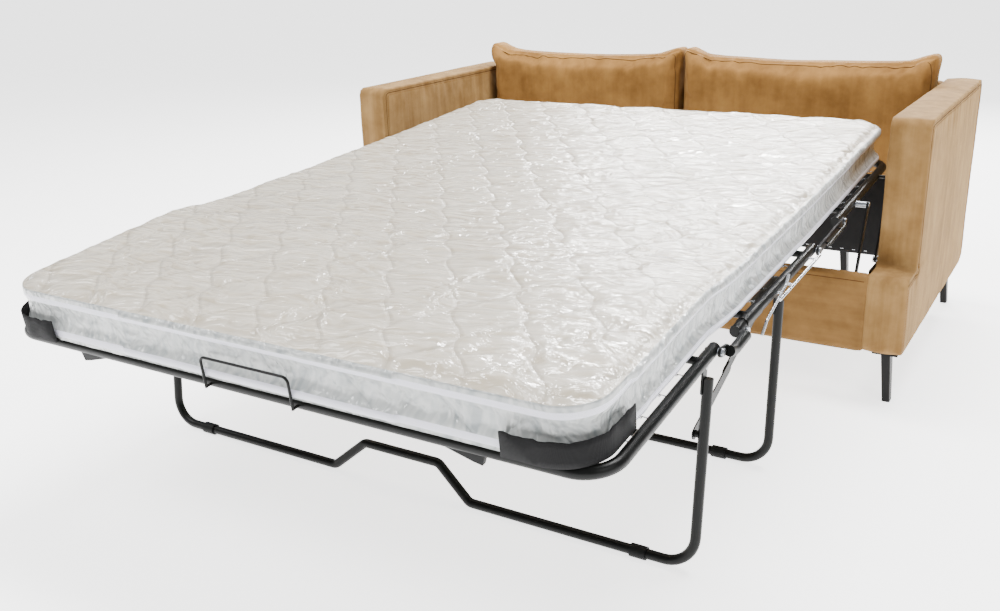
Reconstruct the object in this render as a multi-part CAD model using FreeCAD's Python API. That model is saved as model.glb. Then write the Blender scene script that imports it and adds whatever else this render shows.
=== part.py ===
import FreeCAD, Part
import math
import os

# Sleeper sofa with a pull-out bed, drawn with the bed open. Lengths are in millimetres.
# While it is built, x runs from left to right, y from the front rail's face to the back and
# z up from the floor. The finished pieces then move along y, so that the origin is at the
# bottom centre of the whole object.

# Sofa
sofa_width = 1800.0
sofa_depth = 970.0
arm_height = 730.0
arm_thickness = 105.0
arm_setback = 115.0
leg_height = 137.0
rail_top = 345.0
rail_thickness = 50.0
back_top = 722.0
back_thickness = 65.0
corner_round = 24.0
edge_round = 14.0
cover_wall = 12.0
rail_cover_wall = 8.0
timber = 44.0
fit_gap = 0.3

# Back cushions
cushion_thickness = 130.0
cushion_bottom = 420.0
cushion_top = 800.0
cushion_round = 34.0
cushion_split_x = -35.0
cushion_gap = 8.0
cushion_end_gap = 8.0
lining_thickness = 2.3

# Sofa legs
leg_width = 24.0
leg_length = 40.0
leg_foot_width = 20.0
leg_foot_length = 30.0
leg_splay = 12.0
leg_inset_x = 44.0
leg_inset_y = 48.0
inner_leg_x = 530.0
leg_plate_thickness = 3.0
leg_plate_side = 64.0
leg_screw_radius = 2.5
leg_screw_length = 18.0
leg_screw_offset = 20.0

# Bed sections: the pivots lie on the rails' centre lines, and u runs from foot to head
mid_joint_y = -237.0
mid_joint_z = 468.0
head_slope = 4.05
mid_slope = 2.75
foot_turn_slope = -2.4
foot_slope = 6.2
front_turn_length = 234.0
head_length = 568.0
mid_length = 521.6
foot_turn_length = 142.0
foot_length = 456.0

# Tubes, links and pins
rail_clearance = 83.0
rail_radius = 12.0
rail_stub = 13.0
rail_bend = 64.0
cross_radius = 8.0
cross_lift = 7.0
cross_inset = 60.0
sleeve_radius = 13.6
sleeve_length = 90.0
sleeve_margin = 28.0
link_gap = 2.5
link_thickness = 5.0
link_half_width = 11.0
turn_tube_radius = 11.0
turn_tube_dip = 10.0
pin_radius = 5.0
pin_play = 0.1
pin_head_radius = 8.5
pin_head_thickness = 4.0
swing_link_offset = 40.0
swing_link_length = 220.0
rear_link_length = 237.0
front_swing_at = 150.0
rear_swing_at = 420.0
boss_radius = 9.8
swing_link_half_width = 9.5
boss_gap = 3.0
bracket_thickness = 4.0
bracket_low = 205.0
bracket_margin = 46.0
stowed_joint_y = 65.0
stowed_deck_z = 136.0
stowed_turn_angle = 222.0
stowed_foot_angle = 362.0

# Support legs of the bed
mid_leg_offset = 6.0
bed_leg_radius = 10.5
bed_leg_bend = 62.0
bed_leg_drop = 25.0
glide_radius = 14.0
glide_length = 34.0
glide_inset = 70.0
foot_leg_at = 14.0
foot_leg_floor_y = -954.0
mid_leg_at = 218.0
mid_leg_floor_y = -472.0
jog_low_left = -183.0
jog_high_left = -95.0
jog_high_right = 110.0
jog_low_right = 194.0
jog_height = 74.0
jog_bend = 22.0
hanger_thickness = 4.0
hanger_offset = 27.0
hanger_drop = 38.0
ear_thickness = 4.0
ear_radius = 12.0
leg_pin_radius = 4.5

# Braces between the foot leg and the mid section
brace_width = 24.0
brace_thickness = 2.5
brace_foot_z = 286.0
brace_mid_at = 340.0
brace_mid_drop = 38.0
brace_overlap = 9.0
brace_pin_radius = 3.5

# Deck fabric, springs and small fittings
deck_lift = 5.0
deck_thickness = 1.6
deck_margin = 48.0
deck_end_gap = 16.0
spring_radius = 4.0
spring_hook_radius = 1.3
spring_pitch = 78.0
rod_offset = 29.0
rod_radius = 3.5
lug_radius = 2.8
lever_offset = 20.0
lever_radius = 3.0
lever_margin = 96.6
lever_length = 175.0
lever_rise = 26.0
lever_hook = 18.0
lever_tail = 30.0
lever_tail_drop = 22.0

# Mattress
mattress_inset = 12.0
mattress_thickness = 112.0
mattress_lift = 15.0
mattress_foot_overhang = 22.0
mattress_head_overhang = 8.0
mattress_corner = 88.0
mattress_joint_gap = 0.8
pocket_wall = 2.5
pocket_height = 44.0
pocket_reach = 70.0
wedge_inset = 202.0
wedge_width = 81.0
wedge_drop = 30.0
retainer_half_width = 108.0
retainer_height = 64.0
retainer_radius = 2.8
retainer_bend = 12.0

# Worked out from the sizes above
inner_x = sofa_width / 2 - arm_thickness
back_front_y = sofa_depth - back_thickness
rail_x = inner_x - rail_clearance
link_x = rail_x + rail_radius + link_gap
swing_link_x = rail_x + swing_link_offset
turn_tube_x = link_x + turn_tube_radius
rod_x = rail_x + rod_offset
foot_leg_x = rail_x
mid_leg_x = rail_x - mid_leg_offset
mid_plate_x = rail_x - hanger_offset
upper_brace_x = mid_plate_x + hanger_thickness + fit_gap
lower_brace_x = upper_brace_x + brace_thickness + fit_gap
foot_plate_x = rail_x - rail_radius - hanger_thickness + 0.6
mattress_width = 2 * (rail_x - mattress_inset)
wedge_outer_x = mattress_width / 2 - wedge_inset
wedge_inner_x = wedge_outer_x - wedge_width
sides = (("left", -1), ("right", 1))


def vec(x, y, z):
    return FreeCAD.Vector(x, y, z)


def box(x0, x1, y0, y1, z0, z1):
    return Part.makeBox(x1 - x0, y1 - y0, z1 - z0, vec(x0, y0, z0))


def rod(start, end, radius):
    return Part.makeCylinder(radius, (end - start).Length, start, end - start)


def fuse(shapes):
    return shapes[0].multiFuse(shapes[1:]).removeSplitter()


def mirror(shape):
    return shape.mirror(vec(0, 0, 0), vec(1, 0, 0))


def on_side(shape, sign):
    """Give the right-hand shape, or its mirror image for the left."""
    return shape if sign > 0 else mirror(shape)


def both(shape):
    return [mirror(shape), shape]


def bent_rod(points, radius, bend):
    """Sweep a round bar along straight runs joined by arcs of one radius."""
    edges = []
    start = points[0]
    for before, corner, after in zip(points, points[1:], points[2:]):
        into = (corner - before).normalize()
        out = (after - corner).normalize()
        half = into.getAngle(out) / 2
        first = corner - into * (bend * math.tan(half))
        last = corner + out * (bend * math.tan(half))
        middle = corner + (out - into).normalize() * (bend / math.cos(half) - bend)
        edges.append(Part.LineSegment(start, first).toShape())
        edges.append(Part.Arc(first, middle, last).toShape())
        start = last
    edges.append(Part.LineSegment(start, points[-1]).toShape())
    profile = Part.Wire(Part.Circle(points[0], points[1] - points[0], radius).toShape())
    return Part.Wire(edges).makePipeShell([profile], True, True)


def rounded_outline(corners, radius):
    """Give a closed wire in the plane x = 0 whose (y, z) corners are rounded."""
    points = [vec(0, y, z) for y, z in corners]
    count = len(points)
    edges = []
    ends = []
    for i in range(count):
        into = (points[i] - points[i - 1]).normalize()
        out = (points[(i + 1) % count] - points[i]).normalize()
        half = into.getAngle(out) / 2
        first = points[i] - into * (radius * math.tan(half))
        last = points[i] + out * (radius * math.tan(half))
        middle = points[i] + (out - into).normalize() * (radius / math.cos(half) - radius)
        ends.append((first, middle, last))
    for i in range(count):
        first, middle, last = ends[i]
        edges.append(Part.LineSegment(ends[i - 1][2], first).toShape())
        edges.append(Part.Arc(first, middle, last).toShape())
    return Part.Wire(edges)


def plate(corners, x0, x1):
    """Give a flat plate between two x planes from (y, z) or (u, n) corners."""
    points = [vec(x0, a, b) for a, b in corners]
    return Part.Face(Part.makePolygon(points + points[:1])).extrude(vec(x1 - x0, 0, 0))


def strap(start, end, half_width, x0, x1):
    """Give a flat bar with round ends between two (y, z) points."""
    along = (vec(0, *end) - vec(0, *start)).normalize()
    across = vec(0, -along.z, along.y) * half_width
    corners = [vec(0, *start) + across, vec(0, *end) + across, vec(0, *end) - across, vec(0, *start) - across]
    bar = plate([(c.y, c.z) for c in corners], x0, x1)
    ends = [Part.makeCylinder(half_width, x1 - x0, vec(x0, *p), vec(1, 0, 0)) for p in (start, end)]
    return fuse([bar] + ends)


def disc(y, z, radius, x0, x1):
    return Part.makeCylinder(radius, x1 - x0, vec(x0, y, z), vec(1, 0, 0))


class Deck:
    """A stretch of the bed's deck: u runs towards the head and n towards the mattress."""

    def __init__(self, y, z, slope):
        self.y = y
        self.z = z
        self.slope = slope
        self.cos = math.cos(math.radians(slope))
        self.sin = math.sin(math.radians(slope))

    def point(self, u, n):
        return (self.y + u * self.cos - n * self.sin, self.z + u * self.sin + n * self.cos)

    def place(self, shape):
        """Carry a shape drawn in (x, u, n) to its place at rest."""
        placed = shape.copy()
        placed.rotate(vec(0, 0, 0), vec(1, 0, 0), self.slope)
        placed.translate(vec(0, self.y, self.z))
        return placed


# The bed's pivots at rest, from the middle joint towards the head and towards the foot
upper = Deck(mid_joint_y, mid_joint_z, head_slope)
mid = Deck(mid_joint_y, mid_joint_z, mid_slope)
head_pivot = upper.point(front_turn_length, 0)
head = Deck(*head_pivot, head_slope)
mid_end = mid.point(-mid_length, 0)
foot_turn = Deck(*mid_end, foot_turn_slope)
foot_pivot = foot_turn.point(-foot_turn_length, 0)
foot = Deck(*foot_pivot, foot_slope)
foot_leg_pivot = foot.point(-foot_leg_at, -bed_leg_drop)
mid_leg_pivot = mid.point(-mid_leg_at, -bed_leg_drop)
stowed_head = Deck(stowed_joint_y, stowed_deck_z, 0.0)


def swing_pivot(at, length):
    """Give the fixed pivot, start angle and swing of a link that carries one point of the head section.

    The link's length is fixed, so its pivot is the centre of the circle through the point's
    open and stowed places, on the front side. Angles are from upright, positive to the back.
    """
    open_place = vec(0, *head.point(at, 0))
    stowed_place = vec(0, *stowed_head.point(at, 0))
    chord = stowed_place - open_place
    depth = math.sqrt(length ** 2 - (chord.Length / 2) ** 2)
    front = vec(0, chord.z, -chord.y).normalize()
    centre = (open_place + stowed_place) * 0.5 + front * depth
    start = math.degrees(math.atan2(open_place.y - centre.y, open_place.z - centre.z))
    end = math.degrees(math.atan2(stowed_place.y - centre.y, stowed_place.z - centre.z))
    return (centre.y, centre.z), start, end - start


front_fixed, front_start, front_swing = swing_pivot(front_swing_at, swing_link_length)
rear_fixed, rear_start, rear_swing = swing_pivot(rear_swing_at, rear_link_length)
front_carried = head.point(front_swing_at, 0)
rear_carried = head.point(rear_swing_at, 0)


# Arms
def arm_outline(inset):
    front, back = inset, sofa_depth - inset
    step, low = arm_setback + inset, leg_height + inset
    return [(front, low), (back, low), (back, arm_height - inset), (step, arm_height - inset),
            (step, rail_top - inset), (front, rail_top - inset)]


def side_edges(shape, x0, x1):
    """List the edges that lie all in one of two planes across x."""
    found = []
    for edge in shape.Edges:
        bounds = edge.BoundBox
        if bounds.XLength < 1e-6 and min(abs(bounds.XMin - x0), abs(bounds.XMin - x1)) < 1e-6:
            found.append(edge)
    return found


def arm_cover():
    """Padded cover of one arm: an L-shaped shell that is open below."""
    x0, x1 = inner_x, sofa_width / 2
    outer = Part.Face(rounded_outline(arm_outline(0.0), corner_round)).extrude(vec(x1 - x0, 0, 0))
    outer.translate(vec(x0, 0, 0))
    outer = outer.makeFillet(edge_round, side_edges(outer, x0, x1))
    cavity = Part.Face(rounded_outline(arm_outline(cover_wall), corner_round - cover_wall))
    cavity = cavity.extrude(vec(x1 - x0 - 2 * cover_wall, 0, 0))
    cavity.translate(vec(x0 + cover_wall, 0, 0))
    mouth = box(x0 + cover_wall, x1 - cover_wall, 2 * cover_wall, sofa_depth - 2 * cover_wall,
                leg_height - 1, leg_height + 2 * corner_round)
    return outer.cut(cavity).cut(mouth)


def arm_frame():
    """Timber frame inside an arm: one L-shaped ring with a post and a brace board."""
    inset = cover_wall + fit_gap
    x0, x1 = inner_x + inset, sofa_width / 2 - inset
    corners = arm_outline(inset)
    low = leg_height
    front, back = corners[0][0], corners[1][0]
    step, ledge, top = corners[3][0], corners[5][1], corners[2][1]
    bottom = box(x0, x1, front + cover_wall, back - cover_wall, low, low + timber)
    front_block = box(x0, x1, front + fit_gap, step + timber, low + timber, ledge - fit_gap)
    front_post = box(x0, x1, step + fit_gap, step + timber, ledge - timber, top - fit_gap)
    back_post = box(x0, x1, back - timber, back - fit_gap, low + timber / 2, top - fit_gap)
    top_rail = box(x0, x1, step + timber / 2, back - timber / 2, top - timber, top - fit_gap)
    middle = box(x0, x1, (step + back) / 2, (step + back) / 2 + timber, low, top - timber / 2)
    board_z = (low + top) / 2
    board = box(x0, x0 + timber / 2, step + timber / 2, back - timber / 2, board_z - timber, board_z + timber)
    frame = fuse([bottom, front_block, front_post, back_post, top_rail, middle, board])
    rounded = [edge for edge in frame.Edges if is_outer_corner(edge, corners)]
    return frame.makeFillet(cover_wall, rounded)


def is_outer_corner(edge, corners):
    """Tell whether an edge runs across the frame at one of its outer corners."""
    bounds = edge.BoundBox
    if bounds.YLength > 1e-6 or bounds.ZLength > 1e-6:
        return False
    reach = 2 * fit_gap
    places = [corners[2], corners[3], corners[5]]
    return any(abs(bounds.YMin - y) < reach and abs(bounds.ZMin - z) < reach for y, z in places)


# Front rail and back
def rounded_box_shell(x0, x1, y0, y1, z0, z1, wall):
    """Padded cover over a beam: a box with round long edges on top, open below."""
    outer = box(x0, x1, y0, y1, z0, z1)
    tops = [e for e in outer.Edges if e.BoundBox.XLength > x1 - x0 - 1 and e.BoundBox.ZMin > z1 - 1]
    outer = outer.makeFillet(edge_round, tops)
    return outer.cut(box(x0 + wall, x1 - wall, y0 + wall, y1 - wall, z0 - 1, z1 - wall - edge_round / 3))


def front_rail_cover():
    end = inner_x - fit_gap
    return rounded_box_shell(-end, end, 0.0, rail_thickness, leg_height, rail_top, rail_cover_wall)


def front_rail_board():
    end = inner_x - rail_cover_wall - 2 * fit_gap
    inset = rail_cover_wall + fit_gap
    top = rail_top - rail_cover_wall - edge_round / 3 - fit_gap
    return box(-end, end, inset, rail_thickness - inset, leg_height, top)


def back_cover():
    end = inner_x - fit_gap
    return rounded_box_shell(-end, end, back_front_y, sofa_depth, leg_height, back_top, rail_cover_wall)


def back_frame():
    """Timber frame of the back: two long rails and four posts."""
    inset = rail_cover_wall + fit_gap
    end = inner_x - inset - fit_gap
    y0, y1 = back_front_y + inset, sofa_depth - inset
    top = back_top - rail_cover_wall - edge_round / 3 - fit_gap
    rails = [box(-end, end, y0, y1, z, z + timber) for z in (leg_height, top - timber)]
    post_count = 4
    pitch = (2 * end - timber) / (post_count - 1)
    posts = [box(-end + i * pitch, -end + i * pitch + timber, y0, y1, leg_height, top) for i in range(post_count)]
    return fuse(rails + posts)


def back_lining():
    """Black cloth stapled over the lower front of the back."""
    y1 = back_front_y - fit_gap
    end = inner_x - 2 * fit_gap
    return box(-end, end, y1 - lining_thickness, y1, leg_height, cushion_bottom - 2 * fit_gap)


def back_cushion(x0, x1):
    y1 = back_front_y - fit_gap
    block = box(x0, x1, y1 - cushion_thickness, y1, cushion_bottom, cushion_top)
    return block.makeFillet(cushion_round, block.Edges)


# Sofa legs
def sofa_leg(x, y, out_x, out_y):
    """Flat steel leg that tapers and leans outwards; it stands under a plate."""
    top = leg_height - leg_plate_thickness
    high = Part.makePolygon(rectangle(x, y, leg_width, leg_length, top))
    low_x = x + out_x * leg_splay
    low_y = y + out_y * leg_splay
    low = Part.makePolygon(rectangle(low_x, low_y, leg_foot_width, leg_foot_length, 0.0))
    leg = Part.makeLoft([low, high], True, True)
    uprights = [e for e in leg.Edges if e.BoundBox.ZLength > top - 1]
    return leg.makeFillet(leg_foot_width / 5, uprights)


def rectangle(x, y, width, length, z):
    half_w, half_l = width / 2, length / 2
    corners = [(-half_w, -half_l), (half_w, -half_l), (half_w, half_l), (-half_w, half_l), (-half_w, -half_l)]
    return [vec(x + dx, y + dy, z) for dx, dy in corners]


outer_leg_x = sofa_width / 2 - leg_inset_x
front_leg_y = leg_inset_y
rear_leg_y = sofa_depth - leg_inset_y
inner_leg_y = sofa_depth - back_thickness / 2
leg_places = [(sign * outer_leg_x, y) for sign in (-1, 1) for y in (front_leg_y, rear_leg_y)]
leg_places += [(sign * inner_leg_x, inner_leg_y) for sign in (-1, 1)]


def leg_plate(x, y):
    side_y = min(leg_plate_side, back_thickness - 2 * rail_cover_wall) if y == inner_leg_y else leg_plate_side
    half_x, half_y = leg_plate_side / 2, side_y / 2
    sheet = box(x - half_x, x + half_x, y - half_y, y + half_y, leg_height - leg_plate_thickness, leg_height)
    for sx, sy in screw_places(x, y):
        sheet = sheet.cut(rod(vec(sx, sy, 0), vec(sx, sy, leg_height), leg_screw_radius + pin_play))
    return sheet


def screw_places(x, y):
    reach_y = leg_screw_offset / 2 if y == inner_leg_y else leg_screw_offset
    return [(x + sx * leg_screw_offset, y + sy * reach_y) for sx in (-1, 1) for sy in (-1, 1)]


def leg_screw(x, y):
    low = leg_height - leg_plate_thickness
    shank = rod(vec(x, y, low), vec(x, y, leg_height + leg_screw_length), leg_screw_radius)
    screw_head = rod(vec(x, y, low - leg_screw_radius), vec(x, y, low), 2 * leg_screw_radius)
    return shank.fuse(screw_head)


def drill_screws(shape):
    """Bore the timber where the leg screws go in."""
    for x, y in leg_places:
        for sx, sy in screw_places(x, y):
            end = leg_height + leg_screw_length + fit_gap
            shape = shape.cut(rod(vec(sx, sy, leg_height - 1), vec(sx, sy, end), leg_screw_radius + pin_play))
    return shape


# Brackets and swing links
plate_inner = inner_x - fit_gap - bracket_thickness
boss_face = swing_link_x + link_thickness + boss_gap


def side_bracket():
    """Steel plate screwed inside an arm, with two bosses for the swing links."""
    y0 = rail_thickness + 1
    y1 = rear_fixed[0] + bracket_margin
    high = max(front_fixed[1], rear_fixed[1]) + bracket_margin
    corners = [(y0, bracket_low), (y1, bracket_low), (y1, high), (y0, high)]
    pieces = [plate(corners, plate_inner, inner_x - fit_gap)]
    pieces.append(box(plate_inner - 14, plate_inner + 1, y0, y1, bracket_low, bracket_low + bracket_thickness))
    for y, z in (front_fixed, rear_fixed):
        pieces.append(disc(y, z, boss_radius, boss_face, plate_inner + 1))
    bracket = fuse(pieces)
    for y, z in (front_fixed, rear_fixed):
        bracket = bracket.cut(disc(y, z, pin_radius + pin_play, boss_face - 1, boss_face + pin_head_radius))
    return bracket


def bracket_pins():
    pins = []
    for y, z in (front_fixed, rear_fixed):
        shank = disc(y, z, pin_radius, swing_link_x - fit_gap, boss_face + pin_head_radius - fit_gap)
        cap = disc(y, z, pin_head_radius, swing_link_x - fit_gap - pin_head_thickness, swing_link_x - fit_gap)
        pins += both(shank.fuse(cap))
    return Part.makeCompound(pins)


def swing_link(fixed, carried, with_pin):
    """Flat link from a bracket boss to the head section; the rear one ends in its own open pin."""
    x0, x1 = swing_link_x, swing_link_x + link_thickness
    link = strap(fixed, carried, swing_link_half_width, x0, x1)
    link = link.cut(disc(*fixed, pin_radius + pin_play, x0 - 1, x1 + 1))
    if with_pin:
        inner = rail_x + rail_radius + 2 * fit_gap
        return link.fuse(disc(*carried, pin_radius, inner, x0 + 1))
    return link.cut(disc(*carried, pin_radius + pin_play, x0 - 1, x1 + 1))


# Shared forms of the bed's sections
def cross_bar(u):
    return rod(vec(-rail_x, u, cross_lift), vec(rail_x, u, cross_lift), cross_radius)


def pin_holes(shape, places):
    """Bore both rails across at each (u, n) place."""
    for u, n in places:
        hole = disc(u, n, pin_radius + pin_play, rail_x - 2 * rail_radius, rail_x + 2 * rail_radius)
        shape = shape.cut(hole).cut(mirror(hole))
    return shape


def against_rail(shape):
    """Trim a fitting so that it meets the round side of a rail."""
    bounds = shape.BoundBox
    return shape.cut(rod(vec(rail_x, bounds.YMin - 1, 0), vec(rail_x, bounds.YMax + 1, 0), rail_radius))


def rail_pin(u, n, outer):
    """Rivet through a rail, with a washer outside it and a cap beyond the link."""
    inner = rail_x - rail_radius - 1
    shank = disc(u, n, pin_radius, inner, outer + fit_gap)
    washer = disc(u, n, pin_head_radius - 1, rail_x + rail_radius + fit_gap, link_x - fit_gap)
    cap = disc(u, n, pin_head_radius, outer + fit_gap, outer + fit_gap + pin_head_thickness)
    return fuse([shank, washer, cap])


def deck_sheet(u0, u1):
    half = rail_x - rail_radius - deck_margin
    return box(-half, half, u0, u1, deck_lift - deck_thickness / 2, deck_lift + deck_thickness / 2)


def deck_springs(u0, u1, skip):
    """Tension springs between the rails and the sheet, drawn as their outer shape with hooks."""
    count = int((u1 - u0) // spring_pitch)
    first = (u0 + u1 - (count - 1) * spring_pitch) / 2
    fabric_x = rail_x - rail_radius - deck_margin
    springs = []
    for i in range(count):
        u = first + i * spring_pitch
        if any(low < u < high for low, high in skip):
            continue
        x0, x1 = fabric_x + fit_gap, rail_x - rail_radius + 0.8
        start = x0 + 10.0
        coil = rod(vec(start, u, deck_lift), vec(x1 - 10.0, u, deck_lift), spring_radius)
        hook = rod(vec(x0, u, deck_lift), vec(x1, u, deck_lift), spring_hook_radius)
        springs += both(coil.fuse(hook))
    return springs


def mattress_block(deck, y0, y1, rounded_end):
    """One stretch of the mattress between upright cuts; an end stretch has round corners in plan."""
    slope = deck.sin / deck.cos
    corners = []
    for n, ys in ((mattress_lift, (y0, y1)), (mattress_lift + mattress_thickness, (y1, y0))):
        corners += [(y, deck.z + n / deck.cos + (y - deck.y) * slope) for y in ys]
    half = mattress_width / 2
    block = plate(corners, -half, half)
    if rounded_end:
        end = y0 if rounded_end < 0 else y1
        upright = [e for e in block.Edges if e.BoundBox.ZLength > 1 and e.BoundBox.XLength < 1
                   and abs(e.BoundBox.YMin - end) < 1 and abs(e.BoundBox.YMax - end) < 1]
        block = block.makeFillet(mattress_corner, upright)
    return block


# Head section: it stays inside the sofa
def head_frame():
    start, end = -rail_stub, head_length
    loop = bent_rod([vec(-rail_x, start, 0), vec(-rail_x, end, 0), vec(rail_x, end, 0), vec(rail_x, start, 0)],
                    rail_radius, rail_bend)
    frame = fuse([loop, cross_bar(cross_inset)])
    return pin_holes(frame, [(0, 0), (front_swing_at, 0)])


def head_pins():
    turn = rail_pin(0, 0, link_x + link_thickness)
    long_shank = disc(front_swing_at, 0, pin_radius, rail_x - rail_radius - 1, swing_link_x + link_thickness + fit_gap)
    washer = disc(front_swing_at, 0, pin_head_radius, rail_x + rail_radius + fit_gap, swing_link_x - fit_gap)
    cap_x = swing_link_x + link_thickness + fit_gap
    cap = disc(front_swing_at, 0, pin_head_radius - 1, cap_x, cap_x + boss_gap / 2)
    return both(turn) + both(fuse([long_shank, washer, cap]))


# Front turn links: they stand up behind the front rail when the bed is stowed
def front_turn_link():
    x0, x1 = link_x, link_x + link_thickness
    link = strap((0, 0), (front_turn_length, 0), link_half_width, x0, x1)
    for u in (0, front_turn_length):
        link = link.cut(disc(u, 0, pin_radius + pin_play, x0 - 1, x1 + 1))
    lugs = [disc(u, 0, lug_radius, x1 - 1, rod_x) for u in (cross_inset, front_turn_length - cross_inset)]
    guide = rod(vec(rod_x, cross_inset / 2, 0), vec(rod_x, front_turn_length - cross_inset / 2, 0), rod_radius)
    return fuse([link, guide] + lugs)


# Mid section: seat deck when stowed, and the middle of the bed when open
def mid_frame():
    low, high = -mid_length - rail_stub, rail_stub
    rails = both(rod(vec(rail_x, low, 0), vec(rail_x, high, 0), rail_radius))
    start = sleeve_margin - mid_length
    sleeves = both(rod(vec(rail_x, start, 0), vec(rail_x, start + sleeve_length, 0), sleeve_radius))
    bars = [cross_bar(-cross_inset), cross_bar(cross_inset - mid_length)]
    return pin_holes(fuse(rails + sleeves + bars), [(0, 0), (-mid_length, 0)])


def mid_pins():
    pins = both(rail_pin(0, 0, link_x + link_thickness)) + both(rail_pin(-mid_length, 0, link_x + link_thickness))
    pins += both(leg_pin(-mid_leg_at, mid_plate_x, ear_start(mid_leg_x)))
    u, n = -brace_mid_at, -brace_mid_drop
    start, end = mid_plate_x - fit_gap, upper_brace_x + brace_thickness
    rivet = disc(u, n, brace_pin_radius, start - 2, end)
    cap = disc(u, n, 2 * brace_pin_radius, start - 2, start)
    return pins + both(rivet.fuse(cap))


def ear_start(leg_x):
    """Inner face of a folding leg's flat ear."""
    return leg_x - bed_leg_radius


def leg_pin(u, plate_x, ear_x):
    """Pin of a folding leg, with a spacer between its plate and the leg's ear."""
    n = -bed_leg_drop
    plate_end, ear_end = plate_x + hanger_thickness, ear_x + ear_thickness
    pieces = [disc(u, n, leg_pin_radius, plate_x - 3, ear_end + 3)]
    pieces.append(disc(u, n, ear_radius - 4, plate_x - 3, plate_x - fit_gap))
    pieces.append(disc(u, n, ear_radius - 4, ear_end + fit_gap, ear_end + 3))
    if ear_x - plate_end > 2:
        pieces.append(disc(u, n, ear_radius - 4, plate_end + fit_gap, ear_x - fit_gap))
    return fuse(pieces)


def mid_bracket():
    """Steel plate inside a rail that carries the mid leg and the brace."""
    u_leg, u_brace = -mid_leg_at, -brace_mid_at
    low_leg, low_brace = -bed_leg_drop - ear_radius, -brace_mid_drop - ear_radius
    corners = [(u_brace - 16, -2), (u_leg + 16, -2), (u_leg + 16, low_leg + 8), (u_leg + 8, low_leg),
               (u_brace + 10, low_brace), (u_brace - 10, low_brace), (u_brace - 16, low_brace + 8)]
    x0, x1 = mid_plate_x, mid_plate_x + hanger_thickness
    sheet = plate(corners, x0, x1)
    sheet = sheet.cut(disc(u_leg, -bed_leg_drop, leg_pin_radius + pin_play, x0 - 1, x1 + 1))
    sheet = sheet.cut(disc(u_brace, -brace_mid_drop, brace_pin_radius + pin_play, x0 - 1, x1 + 1))
    flange = box(x0, rail_x - rail_radius / 2, u_brace - 16, u_leg + 16, -3, 0)
    return fuse([sheet, against_rail(flange)])


def control_rods():
    """Bright rods along the outside of the mid section, held by two lugs each."""
    lever_end = lever_margin - mid_length
    last_lug = lever_end + lever_length + 2 * rod_radius + lever_radius
    run = rod(vec(rod_x, -cross_inset / 2, 0), vec(rod_x, lever_end + lever_length / 2, 0), rod_radius)
    lugs = [disc(u, 0, lug_radius, rail_x, rod_x) for u in (-cross_inset, last_lug)]
    return fuse([run] + [against_rail(lug) for lug in lugs])


def lock_lever():
    """Bent bright lever that hooks under the rail beside the mid leg."""
    x = rail_x + lever_offset
    end = lever_margin - mid_length
    points = [vec(x, end + lever_length, lever_rise), vec(x, end + lever_length - lever_hook, lever_rise - lever_hook),
              vec(x, end + lever_tail, -lever_rise), vec(x, end, -lever_rise - lever_tail_drop)]
    lever = bent_rod(points, lever_radius, 3 * lever_radius)
    share = points[1].z / (points[1].z - points[2].z)
    lug_u = points[1].y + (points[2].y - points[1].y) * share
    return fuse([lever, against_rail(disc(lug_u, 0, lug_radius, rail_x, x))])


# Foot turn links: bent tubes with flat ears
def foot_turn_link():
    x0, x1 = link_x, link_x + link_thickness
    ends = (0.0, -foot_turn_length)
    inner = 24.0
    middle_u = -0.66 * foot_turn_length
    tube = bent_rod([vec(turn_tube_x, -inner, 0), vec(turn_tube_x, middle_u, -turn_tube_dip),
                     vec(turn_tube_x, inner - foot_turn_length, -turn_tube_dip / 3)], turn_tube_radius, 60.0)
    ears = [strap((0, 0), (-inner - 6, -1), link_half_width - 1, x0, x1)]
    ears.append(strap((-foot_turn_length, 0), (inner + 6 - foot_turn_length, -3), link_half_width - 1, x0, x1))
    link = fuse([tube] + ears)
    for u in ends:
        link = link.cut(disc(u, 0, pin_radius + pin_play, x0 - 1, x1 + 1))
    return link


# Foot section
def foot_frame():
    start, end = rail_stub, -foot_length
    loop = bent_rod([vec(-rail_x, start, 0), vec(-rail_x, end, 0), vec(rail_x, end, 0), vec(rail_x, start, 0)],
                    rail_radius, rail_bend)
    u = -foot_leg_at
    x0, x1 = foot_plate_x, foot_plate_x + hanger_thickness
    corners = [(u - 15, 0), (u + 15, 0), (u + 13, -bed_leg_drop - 6), (u + 6, -hanger_drop),
               (u - 6, -hanger_drop), (u - 13, -bed_leg_drop - 6)]
    frame = fuse([loop, cross_bar(-cross_inset)] + both(plate(corners, x0, x1)))
    frame = pin_holes(frame, [(0, 0)])
    hole = disc(u, -bed_leg_drop, leg_pin_radius + pin_play, x0 - 1, x1 + 1)
    return frame.cut(hole).cut(mirror(hole))


def foot_pins():
    return both(rail_pin(0, 0, link_x + link_thickness)) + both(leg_pin(-foot_leg_at, foot_plate_x, ear_start(foot_leg_x)))


def corner_pocket():
    """Cloth pocket that holds a foot corner of the mattress down on the rail."""
    half, end = mattress_width / 2, -foot_length - mattress_foot_overhang

    def wall(offset, z0, z1):
        edge_x, edge_u = half + offset, end - offset
        block = box(half - mattress_corner - pocket_reach, edge_x, edge_u, end + mattress_corner + pocket_reach, z0, z1)
        corner = [e for e in block.Edges if e.BoundBox.ZLength > 1 and e.BoundBox.XMin > edge_x - 1
                  and e.BoundBox.YMax < edge_u + 1]
        return block.makeFillet(mattress_corner + offset, corner)

    low = rail_radius + fit_gap
    high = mattress_lift + pocket_height
    skin = wall(pocket_wall + fit_gap, low, high).cut(wall(fit_gap, low - 1, high + 1))
    inner = mattress_corner / 2
    flange = wall(pocket_wall + fit_gap, low, mattress_lift - fit_gap).cut(wall(-inner, low - 1, high))
    return fuse([skin, flange])


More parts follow.
